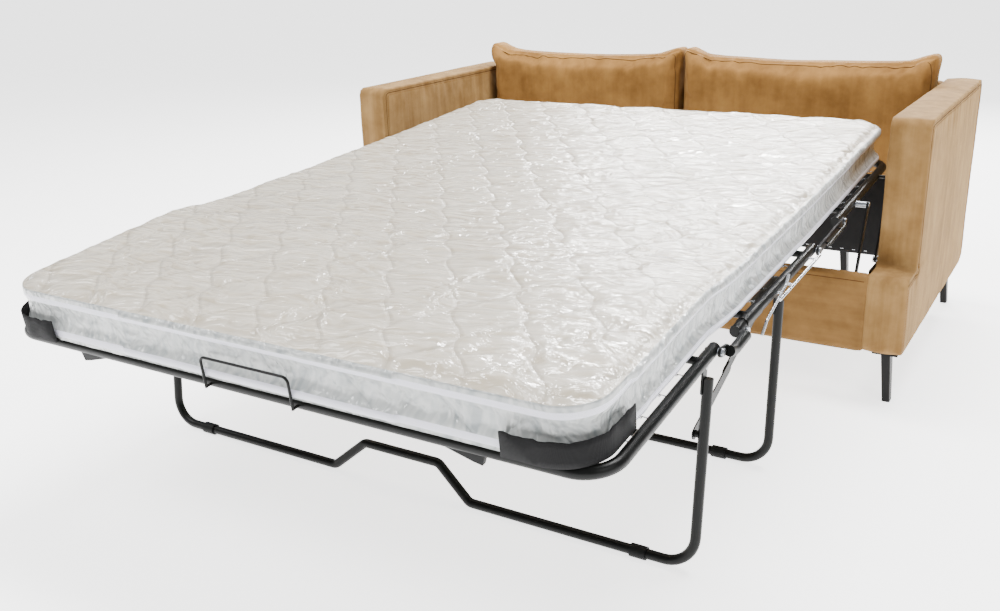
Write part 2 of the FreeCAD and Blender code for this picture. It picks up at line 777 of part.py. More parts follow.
def corner_wedge():
    """Small wedge that hangs under the foot tube beside each corner."""
    u = -foot_length
    top = -rail_radius + 1.5
    points = [vec(wedge_inner_x, u - 5, top), vec(wedge_outer_x, u - 5, top),
              vec(wedge_outer_x - 6, u - 5, -wedge_drop), vec(wedge_outer_x - 26, u - 5, -wedge_drop + 4)]
    wedge = Part.Face(Part.makePolygon(points + points[:1])).extrude(vec(0, 10, 0))
    tube = rod(vec(wedge_inner_x - 5, u, 0), vec(wedge_outer_x + 5, u, 0), rail_radius + fit_gap / 2)
    return wedge.cut(tube)


def mattress_retainer():
    """Wire loop that stands on the foot tube and keeps the mattress from sliding."""
    u_tube = -foot_length - rail_radius - fit_gap / 2
    u_wire = -foot_length - mattress_foot_overhang - fit_gap - retainer_radius
    half, high = retainer_half_width, retainer_height
    loop = bent_rod([vec(-half, u_wire, -2), vec(-half, u_wire, high), vec(half, u_wire, high),
                     vec(half, u_wire, -2)], retainer_radius, retainer_bend)
    feet = both(rod(vec(half, u_wire, 0), vec(half, u_tube, 0), retainer_radius))
    return fuse([loop] + feet)


# Folding support legs
def leg_points(pivot, floor_y, profile):
    """Turn (x, height) pairs of a leg's outline into points in its leaning plane."""
    low = (floor_y, glide_radius)
    points = []
    for x, height in profile:
        share = height / (pivot[1] - low[1])
        points.append(vec(x, low[0] + (pivot[0] - low[0]) * share, low[1] + (pivot[1] - low[1]) * share))
    return points


def folding_leg(pivot, floor_y, side, bottom):
    """U-shaped leg: one bent tube with a flat ear at each upper end."""
    rise = pivot[1] - glide_radius
    ear_reach = 24.0
    profile = [(-side, rise - ear_reach), (-side, 0)] + bottom + [(side, 0), (side, rise - ear_reach)]
    tube = bent_u(leg_points(pivot, floor_y, profile))
    low = leg_points(pivot, floor_y, [(side, rise - 2 * ear_reach)])[0]
    x0, x1 = ear_start(side), ear_start(side) + ear_thickness
    ear = strap(pivot, (low.y, low.z), ear_radius - 1, x0, x1)
    ear = ear.cut(disc(*pivot, leg_pin_radius + pin_play, x0 - 1, x1 + 1))
    return fuse([tube] + both(ear))


def bent_u(points):
    """Bend the two floor corners wide and the corners of a handle, if any, tight."""
    if len(points) == 4:
        return bent_rod(points, bed_leg_radius, bed_leg_bend)
    first, second = points[1] * 0.8 + points[2] * 0.2, points[-2] * 0.8 + points[-3] * 0.2
    left = bent_rod([points[0], points[1], first], bed_leg_radius, bed_leg_bend)
    right = bent_rod([second, points[-2], points[-1]], bed_leg_radius, bed_leg_bend)
    handle = bent_rod([first] + points[2:-2] + [second], bed_leg_radius, jog_bend)
    return fuse([left, handle, right])


def foot_leg():
    jog = [(jog_low_left, 0), (jog_high_left, jog_height), (jog_high_right, jog_height), (jog_low_right, 0)]
    leg = folding_leg(foot_leg_pivot, foot_leg_floor_y, foot_leg_x, jog)
    y, z = brace_foot
    rivet = disc(y, z, brace_pin_radius, lower_brace_x - 2, ear_start(foot_leg_x) + 4)
    cap = disc(y, z, 2 * brace_pin_radius, lower_brace_x - 2, lower_brace_x - fit_gap)
    washer = disc(y, z, 2 * brace_pin_radius, lower_brace_x + brace_thickness + fit_gap, ear_start(foot_leg_x) + 2)
    return fuse([leg] + both(fuse([rivet, cap, washer])))


def mid_leg():
    return folding_leg(mid_leg_pivot, mid_leg_floor_y, mid_leg_x, [])


def glides(side, floor_y):
    """Plastic clips round the floor run of a leg, one near each corner."""
    x0 = side - bed_leg_bend - glide_inset
    clip = rod(vec(x0, floor_y, glide_radius), vec(x0 + glide_length, floor_y, glide_radius), glide_radius)
    bore = rod(vec(x0 - 1, floor_y, glide_radius), vec(x0 + glide_length + 1, floor_y, glide_radius),
               bed_leg_radius + fit_gap / 2)
    return Part.makeCompound(both(clip.cut(bore)))


# Braces: two strips that meet side by side
brace_share = (brace_foot_z - glide_radius) / (foot_leg_pivot[1] - glide_radius)
brace_foot = (foot_leg_floor_y + (foot_leg_pivot[0] - foot_leg_floor_y) * brace_share, brace_foot_z)
brace_mid = mid.point(-brace_mid_at, -brace_mid_drop)
brace_middle = ((brace_foot[0] + brace_mid[0]) / 2, (brace_foot[1] + brace_mid[1]) / 2)


def brace_strip(start, x0):
    """Flat strip from a pin to just past the middle of the brace."""
    span = math.hypot(brace_middle[0] - start[0], brace_middle[1] - start[1])
    share = (span + brace_overlap) / span
    end = (start[0] + (brace_middle[0] - start[0]) * share, start[1] + (brace_middle[1] - start[1]) * share)
    strip = strap(start, end, brace_width / 2, x0, x0 + brace_thickness)
    return strip.cut(disc(*start, brace_pin_radius + pin_play, x0 - 1, x0 + brace_thickness + 1))


def lower_brace():
    return brace_strip(brace_foot, lower_brace_x)


def upper_brace():
    return brace_strip(brace_mid, upper_brace_x)


def build():
    """Give every piece at rest, by the name of its node."""
    nodes = {}
    for name, sign in sides:
        nodes["arm_cover_" + name] = on_side(arm_cover(), sign)
        nodes["arm_frame_" + name] = on_side(drill_screws(arm_frame()), sign)
        nodes["side_bracket_" + name] = on_side(side_bracket(), sign)
        nodes["swing_link_front_" + name] = on_side(swing_link(front_fixed, front_carried, False), sign)
        nodes["swing_link_rear_" + name] = on_side(swing_link(rear_fixed, rear_carried, True), sign)
        nodes["turn_link_front_" + name] = on_side(upper.place(front_turn_link()), sign)
        nodes["turn_link_foot_" + name] = on_side(foot_turn.place(foot_turn_link()), sign)
        nodes["mid_bracket_" + name] = on_side(mid.place(mid_bracket()), sign)
        nodes["sofa_leg_front_" + name] = on_side(sofa_leg(outer_leg_x, front_leg_y, 1, -0.5), sign)
        nodes["sofa_leg_rear_" + name] = on_side(sofa_leg(outer_leg_x, rear_leg_y, 1, 0.5), sign)
    nodes["sofa_leg_inner"] = Part.makeCompound(both(sofa_leg(inner_leg_x, inner_leg_y, 1, 0)))
    nodes["leg_plates"] = Part.makeCompound([leg_plate(x, y) for x, y in leg_places])
    screws = [leg_screw(sx, sy) for x, y in leg_places for sx, sy in screw_places(x, y)]
    nodes["leg_screws"] = Part.makeCompound(screws)
    nodes["front_rail_cover"] = front_rail_cover()
    nodes["front_rail_board"] = front_rail_board()
    nodes["back_cover"] = back_cover()
    nodes["back_frame"] = drill_screws(back_frame())
    nodes["back_lining"] = back_lining()
    nodes["bracket_pins"] = bracket_pins()
    left_end, right_end = -inner_x + cushion_end_gap, inner_x - cushion_end_gap
    nodes["back_cushion_left"] = back_cushion(left_end, cushion_split_x - cushion_gap / 2)
    nodes["back_cushion_right"] = back_cushion(cushion_split_x + cushion_gap / 2, right_end)

    nodes["head_frame"] = head.place(head_frame())
    nodes["head_pins"] = head.place(Part.makeCompound(head_pins()))
    head_span = (cross_inset + deck_end_gap, head_length - rail_bend)
    nodes["head_deck"] = head.place(deck_sheet(*head_span))
    swing_zone = (front_swing_at - 12, front_swing_at + 12)
    nodes["head_springs"] = head.place(Part.makeCompound(deck_springs(*head_span, [swing_zone])))

    nodes["mid_frame"] = mid.place(mid_frame())
    nodes["mid_pins"] = mid.place(Part.makeCompound(mid_pins()))
    mid_span = (cross_inset + deck_end_gap - mid_length, -cross_inset - deck_end_gap)
    nodes["mid_deck"] = mid.place(deck_sheet(*mid_span))
    nodes["mid_springs"] = mid.place(Part.makeCompound(deck_springs(*mid_span, [])))
    nodes["control_rods"] = mid.place(Part.makeCompound(both(control_rods())))
    nodes["lock_levers"] = mid.place(Part.makeCompound(both(lock_lever())))

    nodes["foot_frame"] = foot.place(foot_frame())
    nodes["foot_pins"] = foot.place(Part.makeCompound(foot_pins()))
    foot_span = (rail_bend - foot_length, -cross_inset - deck_end_gap)
    nodes["foot_deck"] = foot.place(deck_sheet(*foot_span))
    nodes["foot_springs"] = foot.place(Part.makeCompound(deck_springs(*foot_span, [])))
    nodes["corner_pockets"] = foot.place(Part.makeCompound(both(corner_pocket())))
    nodes["corner_wedges"] = foot.place(Part.makeCompound(both(corner_wedge())))
    nodes["mattress_retainer"] = foot.place(mattress_retainer())

    nodes["foot_leg"] = foot_leg()
    nodes["foot_leg_glides"] = glides(foot_leg_x, foot_leg_floor_y)
    nodes["mid_leg"] = mid_leg()
    nodes["mid_leg_glides"] = glides(mid_leg_x, mid_leg_floor_y)
    nodes["lower_braces"] = Part.makeCompound(both(lower_brace()))
    nodes["upper_braces"] = Part.makeCompound(both(upper_brace()))

    half_gap = mattress_joint_gap / 2
    head_end = head.point(head_length + mattress_head_overhang, 0)[0]
    foot_end = foot.point(-foot_length - mattress_foot_overhang, 0)[0]
    cuts = [foot_end - half_gap, foot_pivot[0], mid_end[0], mid_joint_y, head_pivot[0], head_end + half_gap]
    stretches = (("foot", foot, -1), ("foot_turn", foot_turn, 0), ("mid", mid, 0), ("front_turn", upper, 0),
                 ("head", head, 1))
    for i, (name, deck, rounded_end) in enumerate(stretches):
        block = mattress_block(deck, cuts[i] + half_gap, cuts[i + 1] - half_gap, rounded_end)
        nodes["mattress_" + name] = block
    return nodes


# The wire loop reaches furthest to the front, and the back cover furthest to the back
front_reach = foot.point(-foot_length - mattress_foot_overhang - fit_gap - 2 * retainer_radius, retainer_height)[0]
origin_shift = -(front_reach + sofa_depth) / 2


def main():
    os.makedirs("parts", exist_ok=True)
    for name, shape in build().items():
        placed = shape.copy()
        placed.translate(vec(0, origin_shift, 0))
        placed.exportStep("parts/" + name + ".step")


main()
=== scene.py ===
import logging
import math
from dataclasses import dataclass, field
from enum import Enum
from typing import Callable, Iterable, Optional, Sequence

import bmesh
import bpy
from mathutils import Matrix, Vector, noise
from mathutils.bvhtree import BVHTree
from mathutils.kdtree import KDTree


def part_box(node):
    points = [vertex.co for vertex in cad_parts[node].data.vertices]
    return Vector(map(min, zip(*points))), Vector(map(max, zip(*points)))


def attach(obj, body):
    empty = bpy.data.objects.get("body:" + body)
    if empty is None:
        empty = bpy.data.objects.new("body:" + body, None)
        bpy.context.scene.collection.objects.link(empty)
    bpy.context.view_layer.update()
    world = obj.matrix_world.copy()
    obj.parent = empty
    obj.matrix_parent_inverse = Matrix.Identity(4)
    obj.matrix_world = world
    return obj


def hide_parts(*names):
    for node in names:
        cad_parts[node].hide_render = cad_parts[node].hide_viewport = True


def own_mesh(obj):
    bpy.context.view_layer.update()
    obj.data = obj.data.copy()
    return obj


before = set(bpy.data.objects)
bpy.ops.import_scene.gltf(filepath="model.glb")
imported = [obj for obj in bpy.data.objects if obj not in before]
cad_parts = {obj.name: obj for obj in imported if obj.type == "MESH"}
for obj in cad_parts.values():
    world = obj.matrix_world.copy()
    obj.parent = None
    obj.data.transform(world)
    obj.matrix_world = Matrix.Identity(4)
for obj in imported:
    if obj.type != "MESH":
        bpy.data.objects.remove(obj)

log = logging.getLogger("sleeper_sofa")
RGB = tuple[float, float, float]


class Side(Enum):
    """The two sides of the sofa, with the sign of x."""
    LEFT = -1
    RIGHT = 1

    @property
    def word(self) -> str:
        """Give the side's word in node names."""
        return self.name.lower()


class Run(Enum):
    """The way a nap or grain runs, as the stretch of its pattern."""
    UPRIGHT = (30.0, 30.0, 1.6)
    ALONG_X = (1.6, 30.0, 30.0)


# Shared tools ---------------------------------------------------------------------------------

def srgb(code: str) -> RGB:
    """Turn a six-digit web colour into linear light.

    Args:
        code: The colour, such as "a87b48".

    Returns:
        Its red, green and blue in linear light.
    """
    values = [int(code[i:i + 2], 16) / 255 for i in (0, 2, 4)]
    return tuple(v / 12.92 if v <= 0.04045 else ((v + 0.055) / 1.055) ** 2.4 for v in values)


def smooth(value: float) -> float:
    """Ease a share from 0 to 1."""
    value = min(max(value, 0.0), 1.0)
    return value * value * (3 - 2 * value)


def bell(distance: float, width: float) -> float:
    """Give 1 at no distance, falling away over a width."""
    return math.exp(-(distance / width) ** 2)


def ripple(*place: float) -> float:
    """Give smooth noise from -1 to 1 at a scaled place."""
    x, y, z = (list(place) + [0.0, 0.0])[:3]
    return noise.noise(Vector((x, y, z)))


def crumple(x: float, y: float, seed: float = 0.0) -> float:
    """Give the height of crumpled film, with long crests that run along x.

    Args:
        x: Place across, in crests.
        y: Place along, in crests.
        seed: Third place in the noise.

    Returns:
        From 0 in a hollow to 1 on a crest.
    """
    warp = ripple(x * 0.8, y * 0.16, seed + 5.0)
    return max(1.0 - 2.6 * abs(ripple(x + warp, y + 2.2 * warp, seed)), 0.0)


def mesh_object(name: str, bm: bmesh.types.BMesh, smooth_shade: bool = True) -> bpy.types.Object:
    """Make an object from a bmesh and free it.

    Args:
        name: The piece's name.
        bm: Its shape, in the row frame.
        smooth_shade: Whether its faces are shaded smooth.

    Returns:
        The new object.
    """
    for face in bm.faces:
        face.smooth = smooth_shade
    mesh = bpy.data.meshes.new(name)
    bm.to_mesh(mesh)
    bm.free()
    obj = bpy.data.objects.new(name, mesh)
    bpy.context.scene.collection.objects.link(obj)
    return obj


def settle(obj: bpy.types.Object) -> None:
    """Apply an object's modifiers to its mesh."""
    graph = bpy.context.evaluated_depsgraph_get()
    mesh = bpy.data.meshes.new_from_object(obj.evaluated_get(graph))
    obj.modifiers.clear()
    old = obj.data
    obj.data = mesh
    bpy.data.meshes.remove(old)


def remesh(obj: bpy.types.Object, voxel: float) -> None:
    """Give an object an even closed skin.

    Args:
        obj: The object.
        voxel: The size of the skin's faces, in metres.
    """
    skin = obj.modifiers.new("skin", "REMESH")
    skin.mode = "VOXEL"
    skin.voxel_size = voxel
    skin.use_smooth_shade = True
    settle(obj)


def push(obj: bpy.types.Object, reach: Callable[[Vector, Vector], float]) -> None:
    """Move each point of a mesh along its normal.

    Args:
        obj: The object.
        reach: Gives the distance from a place and its normal, in metres.
    """
    moves = [reach(v.co, v.normal) for v in obj.data.vertices]
    places = [v.co + v.normal * move for v, move in zip(obj.data.vertices, moves)]
    for vertex, place in zip(obj.data.vertices, places):
        vertex.co = place
    obj.data.update()


def dress(obj: bpy.types.Object, *materials: bpy.types.Material) -> None:
    """Give a new piece its materials, which its faces already point at."""
    for material in materials:
        obj.data.materials.append(material)


def tube_along(bm: bmesh.types.BMesh, points: Sequence[Vector], radius: float, sides: int = 6,
               closed: bool = False) -> None:
    """Add a thin round strand that follows points.

    Args:
        bm: The shape it is added to.
        points: The places it passes.
        radius: Its radius, in metres.
        sides: The number of its faces round it.
        closed: Whether it runs back to its start.
    """
    rings = []
    count = len(points)
    for i, point in enumerate(points):
        before = points[i - 1] if i or closed else point
        after = points[(i + 1) % count] if i + 1 < count or closed else point
        along = (after - before).normalized()
        turn = along.to_track_quat("Z", "Y").to_matrix().to_4x4()
        ring = bmesh.ops.create_circle(bm, segments=sides, radius=radius,
                                       matrix=Matrix.Translation(point) @ turn)
        rings.append(ring["verts"])
    pairs = list(zip(rings, rings[1:])) + ([(rings[-1], rings[0])] if closed else [])
    for first, second in pairs:
        loops = [edge for ring in (first, second) for v in ring for edge in v.link_edges
                 if edge.other_vert(v) in ring]
        bmesh.ops.bridge_loops(bm, edges=list(set(loops)))
    if not closed:
        for ring in (rings[0], rings[-1]):
            bmesh.ops.contextual_create(bm, geom=ring)
    bmesh.ops.recalc_face_normals(bm, faces=bm.faces)


def stitches_along(bm: bmesh.types.BMesh, points: Sequence[Vector], normal: Callable[[Vector], Vector],
                   pitch: float = 0.0075, length: float = 0.0052, width: float = 0.0011) -> None:
    """Add a row of sewn stitches that follows points.

    Args:
        bm: The shape they are added to.
        points: The row's places on the cloth.
        normal: Gives the cloth's outward direction at a place.
        pitch: The step from one stitch to the next.
        length: The length of a stitch.
        width: The width and height of a stitch.
    """
    walked = 0.0
    for a, b in zip(points, points[1:]):
        step = b - a
        run = step.length
        if run < 1e-6:
            continue
        along = step.normalized()
        while walked <= run:
            middle = a + along * walked
            out = normal(middle)
            across = along.cross(out).normalized()
            basis = Matrix((along, across, out)).transposed().to_4x4()
            size = Matrix.Diagonal((length, width, width, 1.0))
            bmesh.ops.create_cube(bm, size=1.0, matrix=Matrix.Translation(middle) @ basis @ size)
            walked += pitch
        walked -= run


def block(bm: bmesh.types.BMesh, low: Vector, high: Vector) -> list[bmesh.types.BMVert]:
    """Add a box between two corners.

    Args:
        bm: The shape it is added to.
        low: Its lowest corner.
        high: Its highest corner.

    Returns:
        The box's new points.
    """
    size = Matrix.Diagonal((*(high - low), 1.0))
    made = bmesh.ops.create_cube(bm, size=1.0, matrix=Matrix.Translation((low + high) / 2) @ size)
    return made["verts"]


def round_edges(bm: bmesh.types.BMesh, edges: Iterable[bmesh.types.BMEdge], radius: float,
                segments: int) -> None:
    """Round some edges of a shape."""
    bmesh.ops.bevel(bm, geom=list(edges), offset=radius, affect="EDGES", segments=segments, profile=0.5,
                    material=-1, clamp_overlap=True)


# Finishes -------------------------------------------------------------------------------------

class Shader:
    """A node material under construction."""

    def __init__(self, name: str) -> None:
        """Start a material with a Principled shader."""
        self.material = bpy.data.materials.new(name)
        self.material.use_nodes = True
        self.tree = self.material.node_tree
        self.skin = self.tree.nodes["Principled BSDF"]
        self.place = self.tree.nodes.new("ShaderNodeTexCoord").outputs["Object"]

    def set(self, **values: object) -> "Shader":
        """Set constant sockets of the main shader.

        Args:
            values: Socket names, with _ for a space, and their values.

        Returns:
            This material, for the next call.
        """
        for key, value in values.items():
            socket = self.skin.inputs[key.replace("_", " ")]
            colour = isinstance(value, tuple) and len(value) == 3
            socket.default_value = (*value, 1.0) if colour else value
        return self

    def node(self, kind: str, links: Optional[dict] = None, **settings: object) -> bpy.types.Node:
        """Add a node.

        Args:
            kind: The node's type without its prefix.
            links: Input names or numbers with the sockets or values they take.
            settings: Attributes of the node.

        Returns:
            The new node.
        """
        made = self.tree.nodes.new("ShaderNode" + kind)
        for key, value in settings.items():
            setattr(made, key, value)
        for key, value in (links or {}).items():
            if isinstance(value, bpy.types.NodeSocket):
                self.tree.links.new(value, made.inputs[key])
            else:
                made.inputs[key].default_value = value
        return made

    def stretched(self, scale: Sequence[float]) -> bpy.types.NodeSocket:
        """Give the object's places, scaled along each axis."""
        return self.node("Mapping", {"Vector": self.place, "Scale": tuple(scale)}).outputs[0]

    def noise(self, scale: float, detail: float = 2.0, rough: float = 0.5,
              vector: Optional[bpy.types.NodeSocket] = None) -> bpy.types.NodeSocket:
        """Give smooth noise from 0 to 1."""
        links = {"Vector": vector or self.place, "Scale": scale, "Detail": detail, "Roughness": rough}
        return self.node("TexNoise", links).outputs["Fac"]

    def math(self, operation: str, *values: object) -> bpy.types.NodeSocket:
        """Work out one value from others."""
        return self.node("Math", dict(enumerate(values)), operation=operation).outputs[0]

    def ramp(self, factor: bpy.types.NodeSocket, *stops: tuple[float, RGB]) -> bpy.types.NodeSocket:
        """Turn a value into a colour.

        Args:
            factor: The value, from 0 to 1.
            stops: Values and their colours, in rising order.

        Returns:
            The colour.
        """
        made = self.node("ValToRGB", {"Fac": factor})
        elements = made.color_ramp.elements
        while len(elements) < len(stops):
            elements.new(0.5)
        for element, (position, colour) in zip(elements, stops):
            element.position = position
            element.color = (*colour, 1.0)
        return made.outputs["Color"]

    def mix(self, factor: object, a: object, b: object) -> bpy.types.NodeSocket:
        """Blend two colours.

        Args:
            factor: The share of the second colour.
            a: The first colour.
            b: The second colour.

        Returns:
            The blend.
        """
        made = self.node("Mix", data_type="RGBA")
        for socket, value in ((made.inputs[0], factor), (made.inputs[6], a), (made.inputs[7], b)):
            if isinstance(value, bpy.types.NodeSocket):
                self.tree.links.new(value, socket)
            else:
                socket.default_value = (*value, 1.0) if isinstance(value, tuple) else value
        return made.outputs[2]

    def bump(self, height: bpy.types.NodeSocket, depth: float, under: Optional[bpy.types.NodeSocket] = None,
             strength: float = 1.0) -> bpy.types.NodeSocket:
        """Give a normal that follows a height.

        Args:
            height: The height, from 0 to 1.
            depth: What a height of 1 stands for, in metres.
            under: A normal that this one is laid over.
            strength: The share of the effect.

        Returns:
            The normal.
        """
        links = {"Height": height, "Distance": depth, "Strength": strength}
        if under is not None:
            links["Normal"] = under
        return self.node("Bump", links).outputs["Normal"]

    def finish(self, **sockets: bpy.types.NodeSocket) -> bpy.types.Material:
        """Link sockets of the main shader.

        Args:
            sockets: Socket names, with _ for a space, and what is linked to them.

        Returns:
            The finished material.
        """
        for key, value in sockets.items():
            self.tree.links.new(value, self.skin.inputs[key.replace("_", " ")])
        return self.material


@dataclass(frozen=True)
class Velvet:
    """Short-pile upholstery velvet with shaded patches where the nap lies differently."""
    name: str
    light: RGB = srgb("c69a60")
    dark: RGB = srgb("a47440")
    run: Run = Run.UPRIGHT
    streaks: float = 0.35
    sheen: float = 0.16

    def make(self) -> bpy.types.Material:
        """Build the material."""
        s = Shader(self.name).set(Roughness=0.86, Sheen_Weight=self.sheen, Sheen_Roughness=0.38,
                                  Sheen_Tint=srgb("e8c88c"), Specular_IOR_Level=0.22)
        clouds = s.noise(5.5, 5.0, 0.62)
        patches = s.noise(16.0, 3.0, 0.6)
        nap = s.noise(1.0, 3.0, 0.6, s.stretched(self.run.value))
        worn = s.math("ADD", s.math("MULTIPLY", patches, 0.38), s.math("MULTIPLY", nap, self.streaks))
        blend = s.math("ADD", s.math("MULTIPLY", clouds, 0.62 - 0.3 * self.streaks), worn)
        middle = 0.5 + 0.35 * self.streaks
        colour = s.ramp(blend, (middle - 0.15, self.dark), (middle + 0.16, self.light))
        pile = s.noise(1400.0, 2.0, 0.7)
        colour = s.mix(0.16, colour, s.ramp(pile, (0.3, self.dark), (0.7, self.light)))
        grain = s.bump(pile, 0.0006, strength=0.35)
        wear = s.bump(patches, 0.004, grain, 0.22)
        return s.finish(Base_Color=colour, Normal=wear)


@dataclass(frozen=True)
class WrappedTicking:
    """Quilted mattress ticking seen through crumpled clear film, with painted highlights on the film's
    crests and painted shade along the quilting lines.
    """
    name: str
    cloth: RGB = srgb("b8ac96")
    shade: RGB = srgb("8a7e6c")
    cell: tuple[float, float, float] = (4.5, 17.0, 17.0)
    leaf: tuple[float, float] = (0.15, 0.21)
    border: bool = False

    def leaves(self, s: Shader) -> bpy.types.NodeSocket:
        """Find the nearest quilting line.

        Args:
            s: The material under construction.

        Returns:
            The distance to the line, in metres.
        """
        split = s.node("SeparateXYZ", {"Vector": s.place})
        across = s.math("ADD", split.outputs["X"], split.outputs["Y"]) if self.border else split.outputs["X"]
        along = split.outputs["Z"] if self.border else split.outputs["Y"]
        width, length = self.leaf
        swing = s.math("COSINE", s.math("MULTIPLY", along, 2 * math.pi / length))
        wave = s.math("MULTIPLY", swing, width / 4)
        first = s.math("PINGPONG", s.math("ADD", s.math("SUBTRACT", across, wave), 4.0), width / 2)
        second = s.math("PINGPONG", s.math("ADD", s.math("ADD", across, wave), 4.0 + width / 2), width / 2)
        return s.math("MINIMUM", first, second)

    def crest(self, s: Shader, vector: bpy.types.NodeSocket, scale: float) -> bpy.types.NodeSocket:
        """Give long sharp crests of film from stretched places."""
        swing = s.math("ABSOLUTE", s.math("SUBTRACT", s.noise(scale, 2.0, 0.5, vector), 0.5))
        return s.math("SUBTRACT", 1.0, s.math("MINIMUM", s.math("MULTIPLY", swing, 5.0), 1.0))

    def make(self) -> bpy.types.Material:
        """Build the material."""
        s = Shader(self.name).set(Roughness=0.42, Coat_Weight=1.0, Coat_Roughness=0.09, Coat_IOR=1.6,
                                  Specular_IOR_Level=0.4, Sheen_Weight=0.05)
        seam = s.math("SMOOTH_MIN", s.math("DIVIDE", self.leaves(s), 0.009), 1.0, 0.3)
        weave = s.noise(900.0, 2.0)
        warp = s.noise(3.0, 3.0, 0.6)
        shift = s.node("VectorMath", {0: s.stretched(self.cell), 1: s.math("MULTIPLY", warp, 3.0)},
                       operation="ADD")
        crests = [self.crest(s, shift.outputs[0], scale) for scale in (1.0, 2.3, 5.0)]
        # Painted highlight: white mixed into the colour along the film's crests.
        cloth_with_painted_light = s.mix(s.math("MULTIPLY", crests[1], 0.34), self.cloth, srgb("f4f2ec"))
        # Painted shade: the colour darkened along the quilting lines.
        cloth_with_painted_light = s.mix(s.math("MULTIPLY", s.math("SUBTRACT", 1.0, seam), 0.30), cloth_with_painted_light, self.shade)
        cloth_with_painted_light = s.mix(s.math("MULTIPLY", warp, 0.30), cloth_with_painted_light, self.shade)
        cloth_normal = s.bump(seam, 0.004, strength=0.5)
        cloth_normal = s.bump(weave, 0.0005, cloth_normal, 0.3)
        cloth_normal = s.bump(crests[0], 0.003, cloth_normal, 0.6)
        film = s.bump(crests[0], 0.007, strength=1.0)
        film = s.bump(crests[1], 0.0032, film, 1.0)
        film = s.bump(crests[2], 0.0009, film, 0.8)
        return s.finish(Base_Color=cloth_with_painted_light, Normal=cloth_normal, Coat_Normal=film)


@dataclass(frozen=True)
class Twill:
    """White woven tape with slanting ribs."""
    name: str
    light: RGB = srgb("e4e4ee")
    dark: RGB = srgb("9c9cb0")

    def make(self) -> bpy.types.Material:
        """Build the material."""
        s = Shader(self.name).set(Roughness=0.5, Coat_Weight=0.7, Coat_Roughness=0.12)
        split = s.node("SeparateXYZ", {"Vector": s.place})
        slant = s.math("ADD", s.math("ADD", split.outputs["X"], split.outputs["Y"]),
                       s.math("MULTIPLY", split.outputs["Z"], 1.3))
        rib = s.math("SINE", s.math("MULTIPLY", slant, 2 * math.pi / 0.0052))
        share = s.math("MULTIPLY_ADD", rib, 0.5, 0.5)
        colour = s.mix(s.math("MULTIPLY", share, 0.5), self.light, self.dark)
        normal = s.bump(share, 0.0008, strength=0.6)
        film = s.bump(s.noise(60.0, 4.0, 0.6), 0.002, strength=0.6)
        return s.finish(Base_Color=colour, Normal=normal, Coat_Normal=film)


@dataclass(frozen=True)
class BlackCloth:
    """Woven black cloth of the deck, the lining and the pockets."""
    name: str
    colour: RGB = srgb("0c0c0d")
    thread: RGB = srgb("1f1f20")
    pitch: float = 0.0022

    def make(self) -> bpy.types.Material:
        """Build the material."""
        s = Shader(self.name).set(Roughness=0.88, Sheen_Weight=0.04, Specular_IOR_Level=0.18)
        split = s.node("SeparateXYZ", {"Vector": s.place})
        waves = [s.math("SINE", s.math("MULTIPLY", split.outputs[axis], 2 * math.pi / self.pitch))
                 for axis in "XYZ"]
        weave = s.math("MULTIPLY", s.math("MULTIPLY", waves[0], waves[1]), 0.5)
        weave = s.math("ADD", weave, s.math("MULTIPLY", waves[2], 0.2))
        colour = s.mix(s.math("MULTIPLY_ADD", weave, 0.3, 0.3), self.colour, self.thread)
        return s.finish(Base_Color=colour, Normal=s.bump(weave, 0.0005, strength=0.5))


@dataclass(frozen=True)
class Painted:
    """Steel or plastic under a black coat."""
    name: str
    colour: RGB = srgb("060706")
    roughness: float = 0.34
    metallic: float = 0.0
    texture: float = 0.35

    def make(self) -> bpy.types.Material:
        """Build the material."""
        s = Shader(self.name).set(Metallic=self.metallic, Specular_IOR_Level=0.16)
        peel = s.noise(260.0, 3.0, 0.6)
        dust = s.noise(22.0, 5.0, 0.65)
        dusty = tuple(min(c * 2.4 + 0.003, 1.0) for c in self.colour)
        colour = s.mix(s.math("MULTIPLY", dust, 0.35), self.colour, dusty)
        rough = s.math("MULTIPLY_ADD", dust, 0.22, self.roughness - 0.08)
        normal = s.bump(peel, 0.0004, strength=self.texture)
        return s.finish(Base_Color=colour, Roughness=rough, Normal=normal)


@dataclass(frozen=True)
class BrightSteel:
    """Zinc-plated steel with a drawn grain."""
    name: str
    colour: RGB = srgb("c9ccd0")
    grain: tuple[float, float, float] = (400.0, 18.0, 400.0)

    def make(self) -> bpy.types.Material:
        """Build the material."""
        s = Shader(self.name).set(Metallic=1.0)
        lines = s.noise(1.0, 3.0, 0.6, s.stretched(self.grain))
        rough = s.math("MULTIPLY_ADD", lines, 0.18, 0.16)
        colour = s.mix(s.math("MULTIPLY", lines, 0.4), self.colour, srgb("9fa3a8"))
        return s.finish(Base_Color=colour, Roughness=rough, Normal=s.bump(lines, 0.0002, strength=0.3))


@dataclass(frozen=True)
class Timber:
    """Planed softwood of the hidden frames."""
    name: str
    light: RGB = srgb("d8b98a")
    dark: RGB = srgb("a9814f")

    def make(self) -> bpy.types.Material:
        """Build the material."""
        s = Shader(self.name).set(Roughness=0.6)
        rings = s.node("TexWave", {"Vector": s.stretched((3.0, 40.0, 40.0)), "Scale": 0.6, "Distortion": 6.0,
                                   "Detail": 3.0}).outputs["Fac"]
        return s.finish(Base_Color=s.ramp(rings, (0.2, self.dark), (0.8, self.light)))


